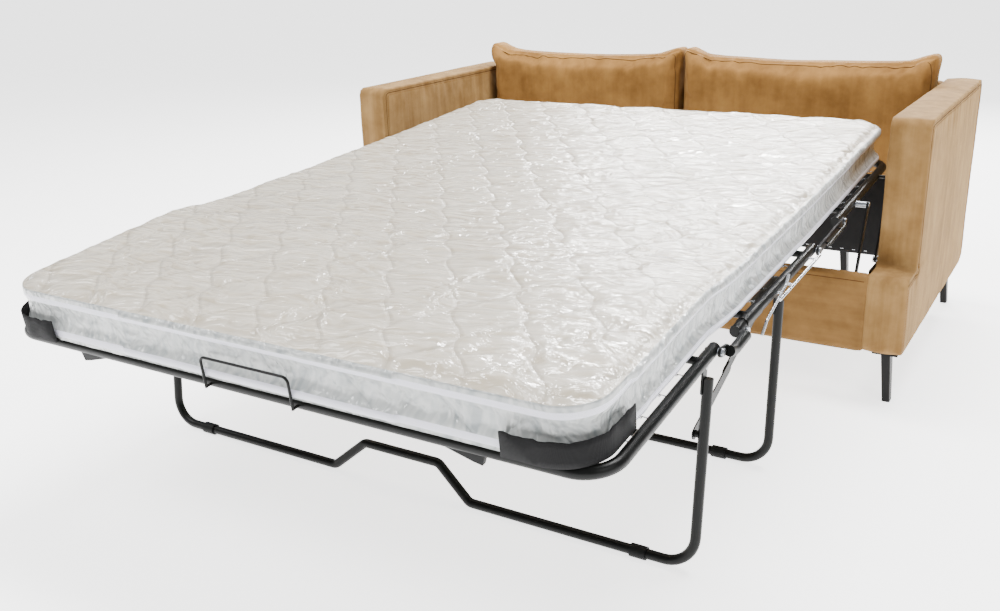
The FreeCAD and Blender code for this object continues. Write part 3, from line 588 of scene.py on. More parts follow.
class Finishes:
    """Every finish of the sofa, made once."""

    def __init__(self) -> None:
        """Build all the materials."""
        self.arm = Velvet("arm_velvet", streaks=0.5, light=srgb("957548"), dark=srgb("6a4c25")).make()
        self.cushion = Velvet("cushion_velvet", light=srgb("99703a"), dark=srgb("6a471c"),
                              streaks=0.25).make()
        # Painted shade: the same velvet made darker for the front rail and the back cover.
        self.rail = Velvet("rail_velvet_painted_shade", light=srgb("846237"), dark=srgb("593e1a"), run=Run.ALONG_X).make()
        self.thread = Painted("seam_thread", srgb("6f4c20"), 0.7, 0.0, 0.2).make()
        # A near-black finish for the strands laid in the seam furrows: painted shade of the seams.
        self.fold = Painted("seam_painted_shade", srgb("40280e"), 0.9, 0.0, 0.2).make()
        self.top = WrappedTicking("wrapped_top").make()
        self.border = WrappedTicking("wrapped_border", cloth=srgb("929899"), shade=srgb("687071"),
                                     cell=(18.0, 18.0, 6.0), leaf=(0.2, 0.26), border=True).make()
        self.tape = Twill("twill_tape").make()
        self.cloth = BlackCloth("black_cloth_weave").make()
        self.deck = BlackCloth("deck_weave", srgb("141415"), srgb("2c2c2e"), 0.0034).make()
        self.steel = Painted("black_paint").make()
        self.leg_steel = Painted("leg_paint", srgb("080808"), 0.42, 0.0, 0.5).make()
        self.plastic = Painted("black_moulding", srgb("080909"), 0.5, 0.0, 0.6).make()
        self.bright = BrightSteel("zinc_plate").make()
        self.dull_zinc = BrightSteel("dull_zinc", srgb("8d9094")).make()
        self.timber = Timber("planed_timber").make()


# Upholstered sofa -----------------------------------------------------------------------------

@dataclass
class Arm:
    """One arm: a padded velvet cover with stitched seams along its side panels."""
    side: Side
    finishes: Finishes
    corner: float = 0.024
    edge: float = 0.014
    setback: float = 0.115
    rail_top: float = 0.345
    inner_fillet: float = 0.026
    seam_inset: float = 0.015
    stitch_step: float = 0.0075
    voxel: float = 0.0065

    def __post_init__(self) -> None:
        """Read the arm's place from the frame."""
        self.low, self.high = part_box("arm_cover_" + self.side.word)

    def outline(self, inset: float) -> list[tuple[float, float]]:
        """Draw the arm's side, from the floor edge in front, up and over to the back.

        Args:
            inset: How far inside the arm's edges the outline runs.

        Returns:
            Its corners, as y and z.
        """
        front, back = self.low.y + inset, self.high.y - inset
        step = self.low.y + self.setback + inset
        low, ledge, top = self.low.z + inset, self.rail_top - inset, self.high.z - inset
        return [(front, low), (front, ledge), (step, ledge), (step, top), (back, top), (back, low)]

    def body(self) -> bpy.types.Object:
        """Build the padded cover.

        Returns:
            The cover, not yet dressed.
        """
        bm = bmesh.new()
        start = [bm.verts.new((self.low.x, y, z)) for y, z in self.outline(0.0)]
        bm.faces.new(start)
        hollow = start[2]
        bmesh.ops.bevel(bm, geom=[v for v in start if v is not hollow], offset=self.corner,
                        affect="VERTICES", segments=6, profile=0.5, material=-1)
        bmesh.ops.bevel(bm, geom=[hollow], offset=self.inner_fillet, affect="VERTICES", segments=6,
                        profile=0.5, material=-1)
        made = bmesh.ops.extrude_face_region(bm, geom=list(bm.faces))
        moved = [g for g in made["geom"] if isinstance(g, bmesh.types.BMVert)]
        bmesh.ops.translate(bm, verts=moved, vec=(self.high.x - self.low.x, 0, 0))
        bmesh.ops.recalc_face_normals(bm, faces=bm.faces)
        ends = (self.low.x, self.high.x)
        inner = self.high.x if self.side is Side.LEFT else self.low.x
        rims = [e for e in bm.edges if any(all(abs(v.co.x - x) < 1e-5 for v in e.verts) for x in ends)
                and not all(abs(v.co.x - inner) < 1e-5 and v.co.y < self.low.y + self.setback - 0.001
                            for v in e.verts)]
        round_edges(bm, rims, self.edge, 4)
        cover = mesh_object("arm_" + self.side.word, bm)
        remesh(cover, self.voxel)
        push(cover, self.padding)
        return cover

    def padding(self, place: Vector, normal: Vector) -> float:
        """Raise crowned panels, seam furrows and puckers below the top seam.

        Args:
            place: A place on the cloth.
            normal: The way outwards there.

        Returns:
            How far the cloth stands off there, in metres.
        """
        across = min(place.x - self.low.x, self.high.x - place.x)
        crown = 0.0025 * smooth(across / 0.05) if abs(normal.x) < 0.5 else 0.0
        depth = self.edge_distance(place)
        flat = abs(normal.x)
        fullness = 0.6 + 0.8 * ripple(place.y * 3, place.z * 3, 5.0)
        panel = flat * 0.004 * smooth((depth - 0.02) / 0.15) * fullness
        furrow = -0.0022 * flat * bell(depth - self.seam_inset, 0.004)
        below = self.high.z - place.z
        pucker = 0.0016 * flat * bell(depth - 0.035, 0.03) * ripple(place.y * 55, place.z * 8, 1.0)
        if place.z > self.rail_top and below < 0.14:
            pleats = ripple(place.y * 38 + place.z * 6, place.z * 6, 7.0)
            pucker += 0.0024 * flat * bell(below - 0.05, 0.045) * pleats
        soft = 0.0012 * ripple(place.x * 14, place.y * 9, place.z * 9)
        return crown + panel + furrow + pucker + soft - 0.001

    def edge_distance(self, place: Vector) -> float:
        """Measure how far a place on a side panel lies from the panel's edge.

        Args:
            place: The place.

        Returns:
            The distance, in metres.
        """
        y, z = place.y, place.z
        ledge = self.rail_top if y < self.low.y + self.setback else self.high.z
        front = self.low.y if z < self.rail_top else self.low.y + self.setback
        return max(min(ledge - z, y - front, self.high.y - y, z - self.low.z + 0.05), 0.0)

    def seam_path(self, inset: float, x: float) -> list[Vector]:
        """Draw a smooth line on a side panel.

        Args:
            inset: How far inside the panel's edge it runs.
            x: Where the panel stands.

        Returns:
            The line's places.
        """
        points = [Vector((x, y, z)) for y, z in self.outline(inset)]
        path: list[Vector] = [points[0]]
        bend = max(self.corner - inset * 0.5, 0.008)
        for before, corner, after in zip(points, points[1:], points[2:]):
            first = corner + (before - corner).normalized() * bend
            last = corner + (after - corner).normalized() * bend
            for i in range(7):
                t = i / 6
                path.append(first * (1 - t) ** 2 + corner * 2 * t * (1 - t) + last * t ** 2)
        path.append(points[-1])
        dense: list[Vector] = []
        for a, b in zip(path, path[1:]):
            steps = max(int((b - a).length / 0.02), 1)
            dense += [a.lerp(b, i / steps) for i in range(steps)]
        return dense + [path[-1]]

    def build(self) -> None:
        """Build the arm with its seams."""
        cover = self.body()
        dress(cover, self.finishes.arm, self.finishes.cloth)
        for polygon in cover.data.polygons:
            if polygon.normal.z < -0.8 and polygon.center.z < self.low.z + 0.01:
                polygon.material_index = 1
        tree = BVHTree.FromObject(cover, bpy.context.evaluated_depsgraph_get())
        seam_shade_lines, sewing = bmesh.new(), bmesh.new()
        for x, out in ((self.low.x, -1.0), (self.high.x, 1.0)):
            lines = [self.laid(tree, self.seam_path(self.seam_inset + shift, x), out)
                     for shift in (0.0, -0.006, 0.007)]
            # A dark strand in the seam's furrow: painted shade.
            tube_along(seam_shade_lines, lines[0], 0.0011, 5)
            for line in lines[1:]:
                stitches_along(sewing, line, lambda p, o=out: Vector((o, 0, 0)), self.stitch_step)
        fold = mesh_object("arm_seam_" + self.side.word, seam_shade_lines)
        sewn = mesh_object("arm_stitches_" + self.side.word, sewing, False)
        dress(fold, self.finishes.fold)
        dress(sewn, self.finishes.thread)
        for piece in (cover, fold, sewn):
            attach(piece, "sofa")
        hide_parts("arm_cover_" + self.side.word)
        log.info("arm %s: %d faces", self.side.word, len(cover.data.polygons))

    def laid(self, tree: BVHTree, path: list[Vector], out: float) -> list[Vector]:
        """Lay a line on the arm's padded side.

        Args:
            tree: The cover's faces.
            path: The line's places near the side.
            out: The sign of x outwards.

        Returns:
            The line's places on the cover.
        """
        found = []
        for point in path:
            start = Vector((point.x + out * 0.05, point.y, max(point.z, self.low.z + 0.002)))
            hit, _, _, _ = tree.ray_cast(start, Vector((-out, 0, 0)), 0.12)
            found.append(hit if hit is not None else point)
        return found


@dataclass
class PaddedBeam:
    """A padded velvet cover over a straight board, such as the front rail or the back."""
    name: str
    node: str
    finishes: Finishes
    edge: float = 0.014
    voxel: float = 0.0085
    seam_drop: float = 0.016
    wave: float = 0.0016
    tuck: float = 0.0

    def build(self) -> None:
        """Build the cover with its top seams, each a furrow holding a dark strand of painted shade."""
        low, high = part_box(self.node)
        bm = bmesh.new()
        tuck = Vector((self.tuck, 0, 0))
        block(bm, low - tuck, high + tuck)
        tops = [e for e in bm.edges if all(v.co.z > high.z - 1e-5 for v in e.verts)]
        round_edges(bm, tops, self.edge, 4)
        cover = mesh_object(self.name, bm)
        remesh(cover, self.voxel)

        def padding(place: Vector, normal: Vector) -> float:
            """Raise soft waves, a seam furrow and puckers below it.

            Args:
                place: A place on the cloth.
                normal: The way outwards there.

            Returns:
                How far the cloth stands off there, in metres.
            """
            below = high.z - place.z
            flat = abs(normal.y)
            end = smooth(min(place.x - low.x, high.x - place.x) / 0.03)
            soft = self.wave * ripple(place.x * 5, place.z * 7, place.y * 5)
            pucker = 0.0014 * flat * bell(below - 0.03, 0.03) * ripple(place.x * 45, place.z * 8, 3.0)
            furrow = -0.002 * flat * bell(below - self.seam_drop, 0.005)
            return end * (soft + pucker + furrow) - 0.0012

        push(cover, padding)
        # The rail finish is the velvet darkened as painted shade.
        dress(cover, self.finishes.rail, self.finishes.cloth)
        for polygon in cover.data.polygons:
            if polygon.normal.z < -0.8 and polygon.center.z < low.z + 0.01:
                polygon.material_index = 1
        tree = BVHTree.FromObject(cover, bpy.context.evaluated_depsgraph_get())
        seam_shade_lines = bmesh.new()
        for y, out in ((low.y, -1.0), (high.y, 1.0)):
            line = []
            steps = 90
            for i in range(steps + 1):
                x = low.x + 0.003 + (high.x - low.x - 0.006) * i / steps
                hit, _, _, _ = tree.ray_cast(Vector((x, y + out * 0.05, high.z - self.seam_drop)),
                                             Vector((0, -out, 0)), 0.1)
                if hit is not None:
                    line.append(hit)
            # A dark strand in the seam's furrow: painted shade.
            tube_along(seam_shade_lines, line, 0.0010, 5)
        fold = mesh_object(self.name + "_seam", seam_shade_lines)
        dress(fold, self.finishes.fold)
        for piece in (cover, fold):
            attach(piece, "sofa")
        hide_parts(self.node)
        log.info("%s: %d faces", self.name, len(cover.data.polygons))


@dataclass
class BackCushion:
    """One loose back cushion: a boxed cushion with a seam round its front panel."""
    side: Side
    finishes: Finishes
    inset: float = 0.011
    edge: float = 0.030
    overlap: float = 0.016
    voxel: float = 0.0085
    pressure: float = 4.0
    cap: float = 0.024
    frames: int = 20
    seam_depth: float = 0.021
    dip: float = 0.012
    ear: float = 0.010

    def __post_init__(self) -> None:
        """Read the cushion's place from the frame."""
        self.low, self.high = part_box("back_cushion_" + self.side.word)

    def blown(self) -> bpy.types.Object:
        """Build the cushion's box and fill it with air.

        Returns:
            The cushion, not yet sewn.
        """
        bm = bmesh.new()
        reach = Vector((self.inset * 0.5, self.inset, self.inset * 0.5))
        block(bm, self.low + reach, self.high - reach)
        round_edges(bm, list(bm.edges), self.edge * 0.7, 4)
        cushion = mesh_object("back_cushion_soft_" + self.side.word, bm)
        remesh(cushion, self.voxel)
        self.simulate(cushion)
        finer = cushion.modifiers.new("finer", "SUBSURF")
        finer.levels = finer.render_levels = 1
        settle(cushion)
        return cushion

    def middle(self, place: Vector) -> float:
        """Find how near a place is to the middle of the front panel.

        Args:
            place: The place.

        Returns:
            1 in the middle and 0 at the edges.
        """
        u = (place.x - self.low.x) / (self.high.x - self.low.x)
        w = (place.z - self.low.z) / (self.high.z - self.low.z)
        return max(1 - (2 * u - 1) ** 4, 0.0) * max(1 - (2 * w - 1) ** 4, 0.0)

    def simulate(self, cushion: bpy.types.Object) -> None:
        """Blow the cushion up with the cloth solver and keep each point within the cap.

        Args:
            cushion: The cushion.
        """
        start = [v.co.copy() for v in cushion.data.vertices]
        cloth = cushion.modifiers.new("air", "CLOTH")
        cloth.settings.use_pressure = True
        cloth.settings.uniform_pressure_force = self.pressure
        cloth.settings.quality = 4
        cloth.settings.effector_weights.gravity = 0.0
        cloth.point_cache.frame_start, cloth.point_cache.frame_end = 1, self.frames
        scene = bpy.context.scene
        for number in range(1, self.frames + 1):
            scene.frame_set(number)
        settle(cushion)
        scene.frame_set(1)
        for vertex, origin in zip(cushion.data.vertices, start):
            move = vertex.co - origin
            if move.length > self.cap:
                vertex.co = origin + move.normalized() * self.cap

    def sewing(self, place: Vector, normal: Vector) -> float:
        """Draw in the front seam and fan pleats down from it.

        Args:
            place: A place on the cushion.
            normal: The way outwards there.

        Returns:
            How far the cloth moves there, in metres.
        """
        depth = place.y - self.low.y
        top, side = self.high.z - place.z, min(place.x - self.low.x, self.high.x - place.x)
        rim = min(top, side, place.z - self.low.z)
        furrow = -0.0042 * bell(depth - self.seam_depth, 0.0055) * smooth((0.05 - rim) / 0.03)
        facing = smooth(-normal.y * 1.6)
        fan = place.x * 30 + 3.0 * ripple(place.x * 5, place.z * 3, 2.0) + (place.z - self.high.z) * 10
        pleat = ripple(fan, place.z * 3.4, 11.0)
        deep = facing * (bell(top - 0.035, 0.055) * 1.0 + 0.30 * bell(top - 0.13, 0.10))
        side_pleat = facing * bell(side - 0.02, 0.04) * ripple(place.z * 26, place.x * 3, 4.0)
        soft = 0.0018 * ripple(place.x * 6, place.y * 6, place.z * 6)
        broad = facing * 0.004 * ripple(place.x * 3.2, place.z * 5.5, 8.0)
        return furrow + 0.0052 * pleat * deep + 0.0026 * side_pleat + soft + broad

    def shape(self, cushion: bpy.types.Object) -> None:
        """Dip the top edge, pull up the corners and keep the cushion off its neighbours.

        Args:
            cushion: The cushion.
        """
        outer_x = self.low.x if self.side is Side.LEFT else self.high.x
        self.fill_box(cushion)
        arm_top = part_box("arm_cover_" + self.side.word)[1].z
        for vertex in cushion.data.vertices:
            place = vertex.co
            u = (place.x - self.low.x) / (self.high.x - self.low.x)
            w = smooth((place.z - self.low.z - 0.2) / (self.high.z - self.low.z - 0.2))
            place.z -= w * self.dip * math.sin(math.pi * min(max(u, 0.0), 1.0))
            corner = bell(u, 0.07) + bell(1 - u, 0.07)
            place.z += w * self.ear * corner
            front_top = (smooth((place.z - self.high.z + 0.10) / 0.1)
                         * smooth((self.high.y - place.y) / 0.1))
            place.y += 0.010 * front_top
            if (place.z > arm_top + 0.004) and self.side is Side.LEFT:
                above = smooth((place.z - arm_top - 0.004) / 0.03)
                place.x -= self.overlap * bell(place.x - outer_x, 0.10) * above
            place.y = min(place.y, self.high.y)
            place.z = max(place.z, self.low.z + 0.0005)
            if place.z < arm_top + 0.004:
                place.x = min(max(place.x, self.low.x - 0.006), self.high.x + 0.006)
            inner = self.high.x if self.side is Side.LEFT else self.low.x
            if (place.x - inner) * self.side.value < -0.0035:
                place.x = inner - self.side.value * 0.0035
        cushion.data.update()

    def fill_box(self, cushion: bpy.types.Object) -> None:
        """Stretch the blown cushion to its full width and height.

        Args:
            cushion: The cushion.
        """
        points = [v.co for v in cushion.data.vertices]
        for axis, spare in ((0, 0.0025), (2, 0.006)):
            low, high = min(p[axis] for p in points), max(p[axis] for p in points)
            goal_low = self.low[axis] - (spare if axis == 0 else 0.0)
            goal_high = self.high[axis] + spare
            for vertex in cushion.data.vertices:
                share = (vertex.co[axis] - low) / (high - low)
                vertex.co[axis] = goal_low + (goal_high - goal_low) * share

    def build(self) -> None:
        """Build the cushion and the dark strand of painted shade in its seam."""
        cushion = self.blown()
        push(cushion, self.sewing)
        self.shape(cushion)
        dress(cushion, self.finishes.cushion)
        for polygon in cushion.data.polygons:
            polygon.use_smooth = True
        seam = self.seam(cushion)
        dress(seam, self.finishes.fold)
        for piece in (cushion, seam):
            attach(piece, "cushion_" + self.side.word)
        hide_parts("back_cushion_" + self.side.word)
        log.info("back cushion %s: %d faces", self.side.word, len(cushion.data.polygons))

    def seam(self, cushion: bpy.types.Object) -> bpy.types.Object:
        """Lay a dark strand in the furrow round the front panel: painted shade of the seam.

        Args:
            cushion: The cushion.

        Returns:
            The dark strand of painted shade.
        """
        tree = BVHTree.FromObject(cushion, bpy.context.evaluated_depsgraph_get())
        centre = (self.low + self.high) / 2
        half = (self.high - self.low) / 2
        places = []
        count = 260
        for i in range(count):
            angle = 2 * math.pi * i / count
            way = Vector((math.cos(angle) * half.x, 0, math.sin(angle) * half.z))
            start = Vector((centre.x, self.low.y + self.seam_depth, centre.z))
            hit, _, _, _ = tree.ray_cast(start, way.normalized(), 1.0)
            if hit is not None:
                places.append(hit)
        bm = bmesh.new()
        tube_along(bm, places, 0.0013, 5, closed=True)
        return mesh_object("cushion_seam_" + self.side.word, bm)


@dataclass
class Lining:
    """Black cloth stapled over the lower front of the back."""
    finishes: Finishes
    thickness: float = 0.0012
    staple: tuple[float, float, float] = (0.010, 0.0008, 0.0014)

    def build(self) -> None:
        """Build the cloth and its staples."""
        low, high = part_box("back_lining")
        bm = bmesh.new()
        turn = Matrix.Rotation(math.pi / 2, 4, "X")
        centre = Vector(((low.x + high.x) / 2, high.y - 0.0006, (low.z + high.z) / 2))
        bmesh.ops.create_grid(bm, x_segments=140, y_segments=26, size=0.5,
                              matrix=Matrix.Translation(centre) @ turn)
        width, height = high.x - low.x, high.z - low.z
        for vertex in bm.verts:
            vertex.co.x = centre.x + (vertex.co.x - centre.x) * width
            vertex.co.z = centre.z + (vertex.co.z - centre.z) * height
            inside = smooth(min(vertex.co.x - low.x, high.x - vertex.co.x, high.z - vertex.co.z,
                                vertex.co.z - low.z) / 0.05)
            vertex.co.y -= 0.0003 + 0.0035 * inside * (0.6 + ripple(vertex.co.x * 5, vertex.co.z * 8, 2.0))
        cloth = mesh_object("back_lining_cloth", bm)
        wall = cloth.modifiers.new("wall", "SOLIDIFY")
        wall.thickness, wall.offset = self.thickness, 0.0
        settle(cloth)
        dress(cloth, self.finishes.cloth)
        pins = bmesh.new()
        for i in range(40):
            x = low.x + 0.03 + (width - 0.06) * i / 39
            for z in (low.z + 0.012, high.z - 0.012):
                size = Matrix.Diagonal((*self.staple, 1.0))
                bmesh.ops.create_cube(pins, size=1.0,
                                      matrix=Matrix.Translation((x, high.y - 0.0024, z)) @ size)
        staples = mesh_object("lining_staples", pins, False)
        dress(staples, self.finishes.bright)
        for piece in (cloth, staples):
            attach(piece, "sofa")
        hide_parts("back_lining")
        log.info("lining: %d faces", len(cloth.data.polygons))


# Mattress -------------------------------------------------------------------------------------

@dataclass
class Stretch:
    """One part of the mattress, between two of the deck's points, with the body it rides on."""
    name: str
    body: str
    start: int
    end: int
    keep: float


@dataclass
class Mattress:
    """The folding mattress in its clear film, made whole and then cut at the bed's joints."""
    finishes: Finishes
    deck: tuple[tuple[float, float], ...] = (
        (-1.16620, 0.39727), (-0.69097, 0.44892), (-0.54907, 0.44297),
        (-0.02807, 0.46800), (0.20533, 0.48453), (0.77990, 0.52521))
    half_width: float = 0.700
    lift: float = 0.015
    thickness: float = 0.112
    corner: float = 0.088
    step: float = 0.0090
    rows: int = 16
    tape_rows: tuple[int, int] = (2, 4)
    gap: float = 0.0004
    pocket: float = 0.15
    stretches: tuple[Stretch, ...] = field(default_factory=lambda: (
        Stretch("foot", "foot_section", 0, 1, 0.15), Stretch("foot_turn", "foot_turn", 1, 2, 0.1),
        Stretch("mid", "mid_section", 2, 3, 0.15), Stretch("front_turn", "front_turn", 3, 4, 0.1),
        Stretch("head", "head_section", 4, 5, 0.15)))

    def deck_height(self, y: float) -> float:
        """Give the deck's height at a place along the bed, eased over the joints."""
        return sum(self.straight_height(y + shift) for shift in (-0.03, -0.015, 0.0, 0.015, 0.03)) / 5

    def straight_height(self, y: float) -> float:
        """Find the height of the deck's straight runs.

        Args:
            y: Place along.

        Returns:
            The height, in metres.
        """
        points = self.deck
        for (y0, z0), (y1, z1) in zip(points, points[1:]):
            if y <= y1 or (y1, z1) == points[-1]:
                return z0 + (z1 - z0) * (y - y0) / (y1 - y0)
        return points[-1][1]

    def plan(self, x: float, y: float) -> tuple[Vector, Vector]:
        """Round the plan's corners.

        Args:
            x: Place across in a plain rectangle.
            y: Place along in a plain rectangle.

        Returns:
            The place in the rounded plan, and the way outwards there.
        """
        low, high = self.deck[0][0], self.deck[-1][0]
        hold_x = self.half_width - self.corner
        middle, hold_y = (low + high) / 2, (high - low) / 2 - self.corner
        dx, dy = abs(x) - hold_x, abs(y - middle) - hold_y
        way = Vector((math.copysign(1, x), math.copysign(1, y - middle)))
        if dx > 0 and dy > 0:
            spoke = Vector((dx, dy)).normalized()
            reach = max(dx, dy)
            place = Vector((hold_x + spoke.x * reach, hold_y + spoke.y * reach))
            turned = Vector((spoke.x * way.x, spoke.y * way.y))
            return Vector((place.x * way.x, middle + place.y * way.y)), turned
        out = Vector((way.x, 0)) if dx - 1e-9 > dy else Vector((0, way.y))
        return Vector((x, y)), out

    def top_height(self, x: float, y: float, rim: float) -> float:
        """Give the wrapped top's height over its flat plane.

        Args:
            x: Place across.
            y: Place along.
            rim: Distance from the edge.

        Returns:
            The height, in metres.
        """
        width, length = 0.15, 0.21
        wave = math.cos(2 * math.pi * y / length) * width / 4
        lines = min(abs((x - wave + 4 + width / 2) % width - width / 2),
                    abs((x + wave + 4 + width) % width - width / 2))
        quilt = -0.0016 * bell(lines, 0.010)
        fold = crumple(x * 3.4, y * 13, 3.0)
        fine = crumple(x * 8.0, y * 27, 9.0)
        broad = 0.0035 * ripple(x * 2.2, y * 3.5, 6.0)
        crown = -0.014 * (1 - smooth(rim / 0.045)) ** 2
        return crown + smooth(rim / 0.03) * (quilt + 0.0034 * fold + 0.0014 * fine + broad) - 0.002

    def profile(self, share: float) -> tuple[float, float]:
        """Give the border's shape from the top edge down.

        Args:
            share: The way down, from 0 at the top edge to 1 at the bottom.

        Returns:
            The border's outward offset and its drop, in metres.
        """
        marks = ((0.0, -0.0040, 0.012), (0.07, 0.0018, 0.017), (0.13, 0.0040, 0.024),
                 (0.20, 0.0022, 0.031), (0.25, -0.0055, 0.036), (0.42, -0.0130, 0.052),
                 (0.60, -0.0135, 0.070), (0.77, -0.0060, 0.086), (0.82, 0.0015, 0.090),
                 (0.88, 0.0034, 0.097), (0.94, 0.0015, 0.104), (1.0, -0.0060, 0.112))
        for (s0, o0, d0), (s1, o1, d1) in zip(marks, marks[1:]):
            if share <= s1 + 1e-9:
                t = smooth((share - s0) / (s1 - s0)) if s1 < 1 else (share - s0) / (s1 - s0)
                return o0 + (o1 - o0) * t, d0 + (d1 - d0) * (share - s0) / (s1 - s0)
        return marks[-1][1], marks[-1][2]

    def whole(self) -> bmesh.types.BMesh:
        """Build the whole mattress as one closed shape.

        Returns:
            Its shape, with the tape and the border marked.
        """
        low, high = self.deck[0][0], self.deck[-1][0]
        length = high - low
        bm = bmesh.new()
        bmesh.ops.create_grid(bm, x_segments=round(2 * self.half_width / self.step),
                              y_segments=round(length / self.step), size=0.5)
        for vertex in bm.verts:
            vertex.co.x *= 2 * self.half_width
            vertex.co.y = (low + high) / 2 + vertex.co.y * length
        made = bmesh.ops.extrude_face_region(bm, geom=list(bm.faces))
        floor = {g for g in made["geom"] if isinstance(g, bmesh.types.BMVert)}
        bmesh.ops.translate(bm, verts=list(floor), vec=(0, 0, -1))
        upright = [e for e in bm.edges if abs(e.verts[0].co.z - e.verts[1].co.z) > 0.5]
        bmesh.ops.subdivide_edges(bm, edges=upright, cuts=self.rows - 1, use_grid_fill=False)
        bmesh.ops.recalc_face_normals(bm, faces=bm.faces)
        self.place_points(bm)
        return bm

    def place_points(self, bm: bmesh.types.BMesh) -> None:
        """Carry a plain box to the wrapped mattress, and mark the tape and the border.

        Args:
            bm: The box, 1 m deep, with a row of faces for each row of the border.
        """
        low, high = self.deck[0][0], self.deck[-1][0]
        for face in bm.faces:
            depth = -sum(v.co.z for v in face.verts) / len(face.verts)
            row = int(depth * self.rows)
            on_tape = self.tape_rows[0] <= row < self.tape_rows[1] or self.rows - 3 <= row < self.rows - 1
            wall = abs(face.normal.z) < 0.5
            face.material_index = (1 if on_tape else 2) if wall else 0
        for vertex in bm.verts:
            x, y, depth = vertex.co
            place, out = self.plan(x, y)
            share = -depth
            rim = min(self.half_width - abs(x), y - low, high - y)
            surface = self.deck_height(place.y) + self.lift
            if share > 1e-6 or rim < 1e-6:
                offset, drop = self.profile(share)
                walk = place.x * 3.0 + place.y * 3.0
                slack = smooth(1 - abs(share - 0.5) / 0.32)
                fold = crumple(share * 1.6 + place.y, walk * 5.0, 5.0) * 0.0052
                pull = 0.0035 * ripple(walk * 2.0, share * 2, 4.0)
                offset += slack * (fold + pull) + 0.0012 * ripple(walk * 9, share * 3, 8.0)
                if place.y < low + self.pocket and abs(place.x) > self.half_width - 2.4 * self.pocket:
                    offset = min(offset, -0.003)
                if share > 1 - 1e-6 and rim > 1e-6:
                    offset, drop = 0.0, self.thickness
                vertex.co = Vector((place.x + out.x * offset, place.y + out.y * offset,
                                    surface + self.thickness - drop))
            else:
                height = self.thickness + self.top_height(place.x, place.y, rim)
                vertex.co = Vector((place.x, place.y, surface + height))

    def cut(self, whole: bmesh.types.BMesh, start: float, end: float) -> bmesh.types.BMesh:
        """Take the closed part of the mattress between two upright planes.

        Args:
            whole: The whole mattress.
            start: The first plane's place along.
            end: The last plane's place along.

        Returns:
            The part.
        """
        part = whole.copy()
        for y, way in ((start, -1), (end, 1)):
            if not self.deck[0][0] < y < self.deck[-1][0]:
                continue
            geometry = list(part.verts) + list(part.edges) + list(part.faces)
            made = bmesh.ops.bisect_plane(part, geom=geometry, dist=1e-6, plane_co=(0, y, 0),
                                          plane_no=(0, way, 0), clear_outer=True, clear_inner=False)
            rim = [g for g in made["geom_cut"] if isinstance(g, bmesh.types.BMEdge)]
            bmesh.ops.holes_fill(part, edges=rim, sides=0)
        return part

    def build(self) -> None:
        """Build the mattress and cut it at the joints."""
        whole = self.whole()
        whole.normal_update()
        tree = KDTree(len(whole.verts))
        normals = [v.normal.copy() for v in whole.verts]
        for i, vertex in enumerate(whole.verts):
            tree.insert(vertex.co, i)
        tree.balance()
        ends = [y for y, _ in self.deck]
        for stretch in self.stretches:
            first, last = ends[stretch.start], ends[stretch.end]
            start = first + self.gap if stretch.start > 0 else first - 1.0
            end = last - self.gap if stretch.end < len(ends) - 1 else last + 1.0
            part = self.cut(whole, start, end)
            piece = mesh_object("mattress_soft_" + stretch.name, part)
            self.keep_normals(piece, tree, normals, (start, end))
            dress(piece, self.finishes.top, self.finishes.tape, self.finishes.border)
            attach(piece, stretch.body)
            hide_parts("mattress_" + stretch.name)
            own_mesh(piece)
            log.info("mattress %s: %d faces", stretch.name, len(piece.data.polygons))
        whole.free()

    def keep_normals(self, piece: bpy.types.Object, tree: KDTree, normals: list[Vector],
                     planes: tuple[float, float]) -> None:
        """Shade a cut part as the whole mattress is shaded, so that the cuts don't show.

        Args:
            piece: The part.
            tree: The places of the whole mattress's points.
            normals: Their normals.
            planes: Where the part was cut.
        """
        mesh = piece.data
        mesh.update()
        loops = []
        taken: dict[int, Vector] = {}
        for polygon in mesh.polygons:
            cap = abs(polygon.normal.y) > 0.999 and any(abs(polygon.center.y - y) < 1e-4 for y in planes)
            for index in polygon.vertices:
                vertex = mesh.vertices[index]
                if cap:
                    loops.append(polygon.normal.copy())
                elif any(abs(vertex.co.y - y) < 1e-4 for y in planes):
                    if index not in taken:
                        near = tree.find_n(vertex.co, 4)
                        total = Vector((0, 0, 0))
                        for _, i, distance in near:
                            total += normals[i] / (distance + 1e-5)
                        taken[index] = total.normalized()
                    loops.append(taken[index])
                else:
                    loops.append(vertex.normal.copy())
        mesh.normals_split_custom_set(loops)


# Bed mechanism --------------------------------------------------------------------------------

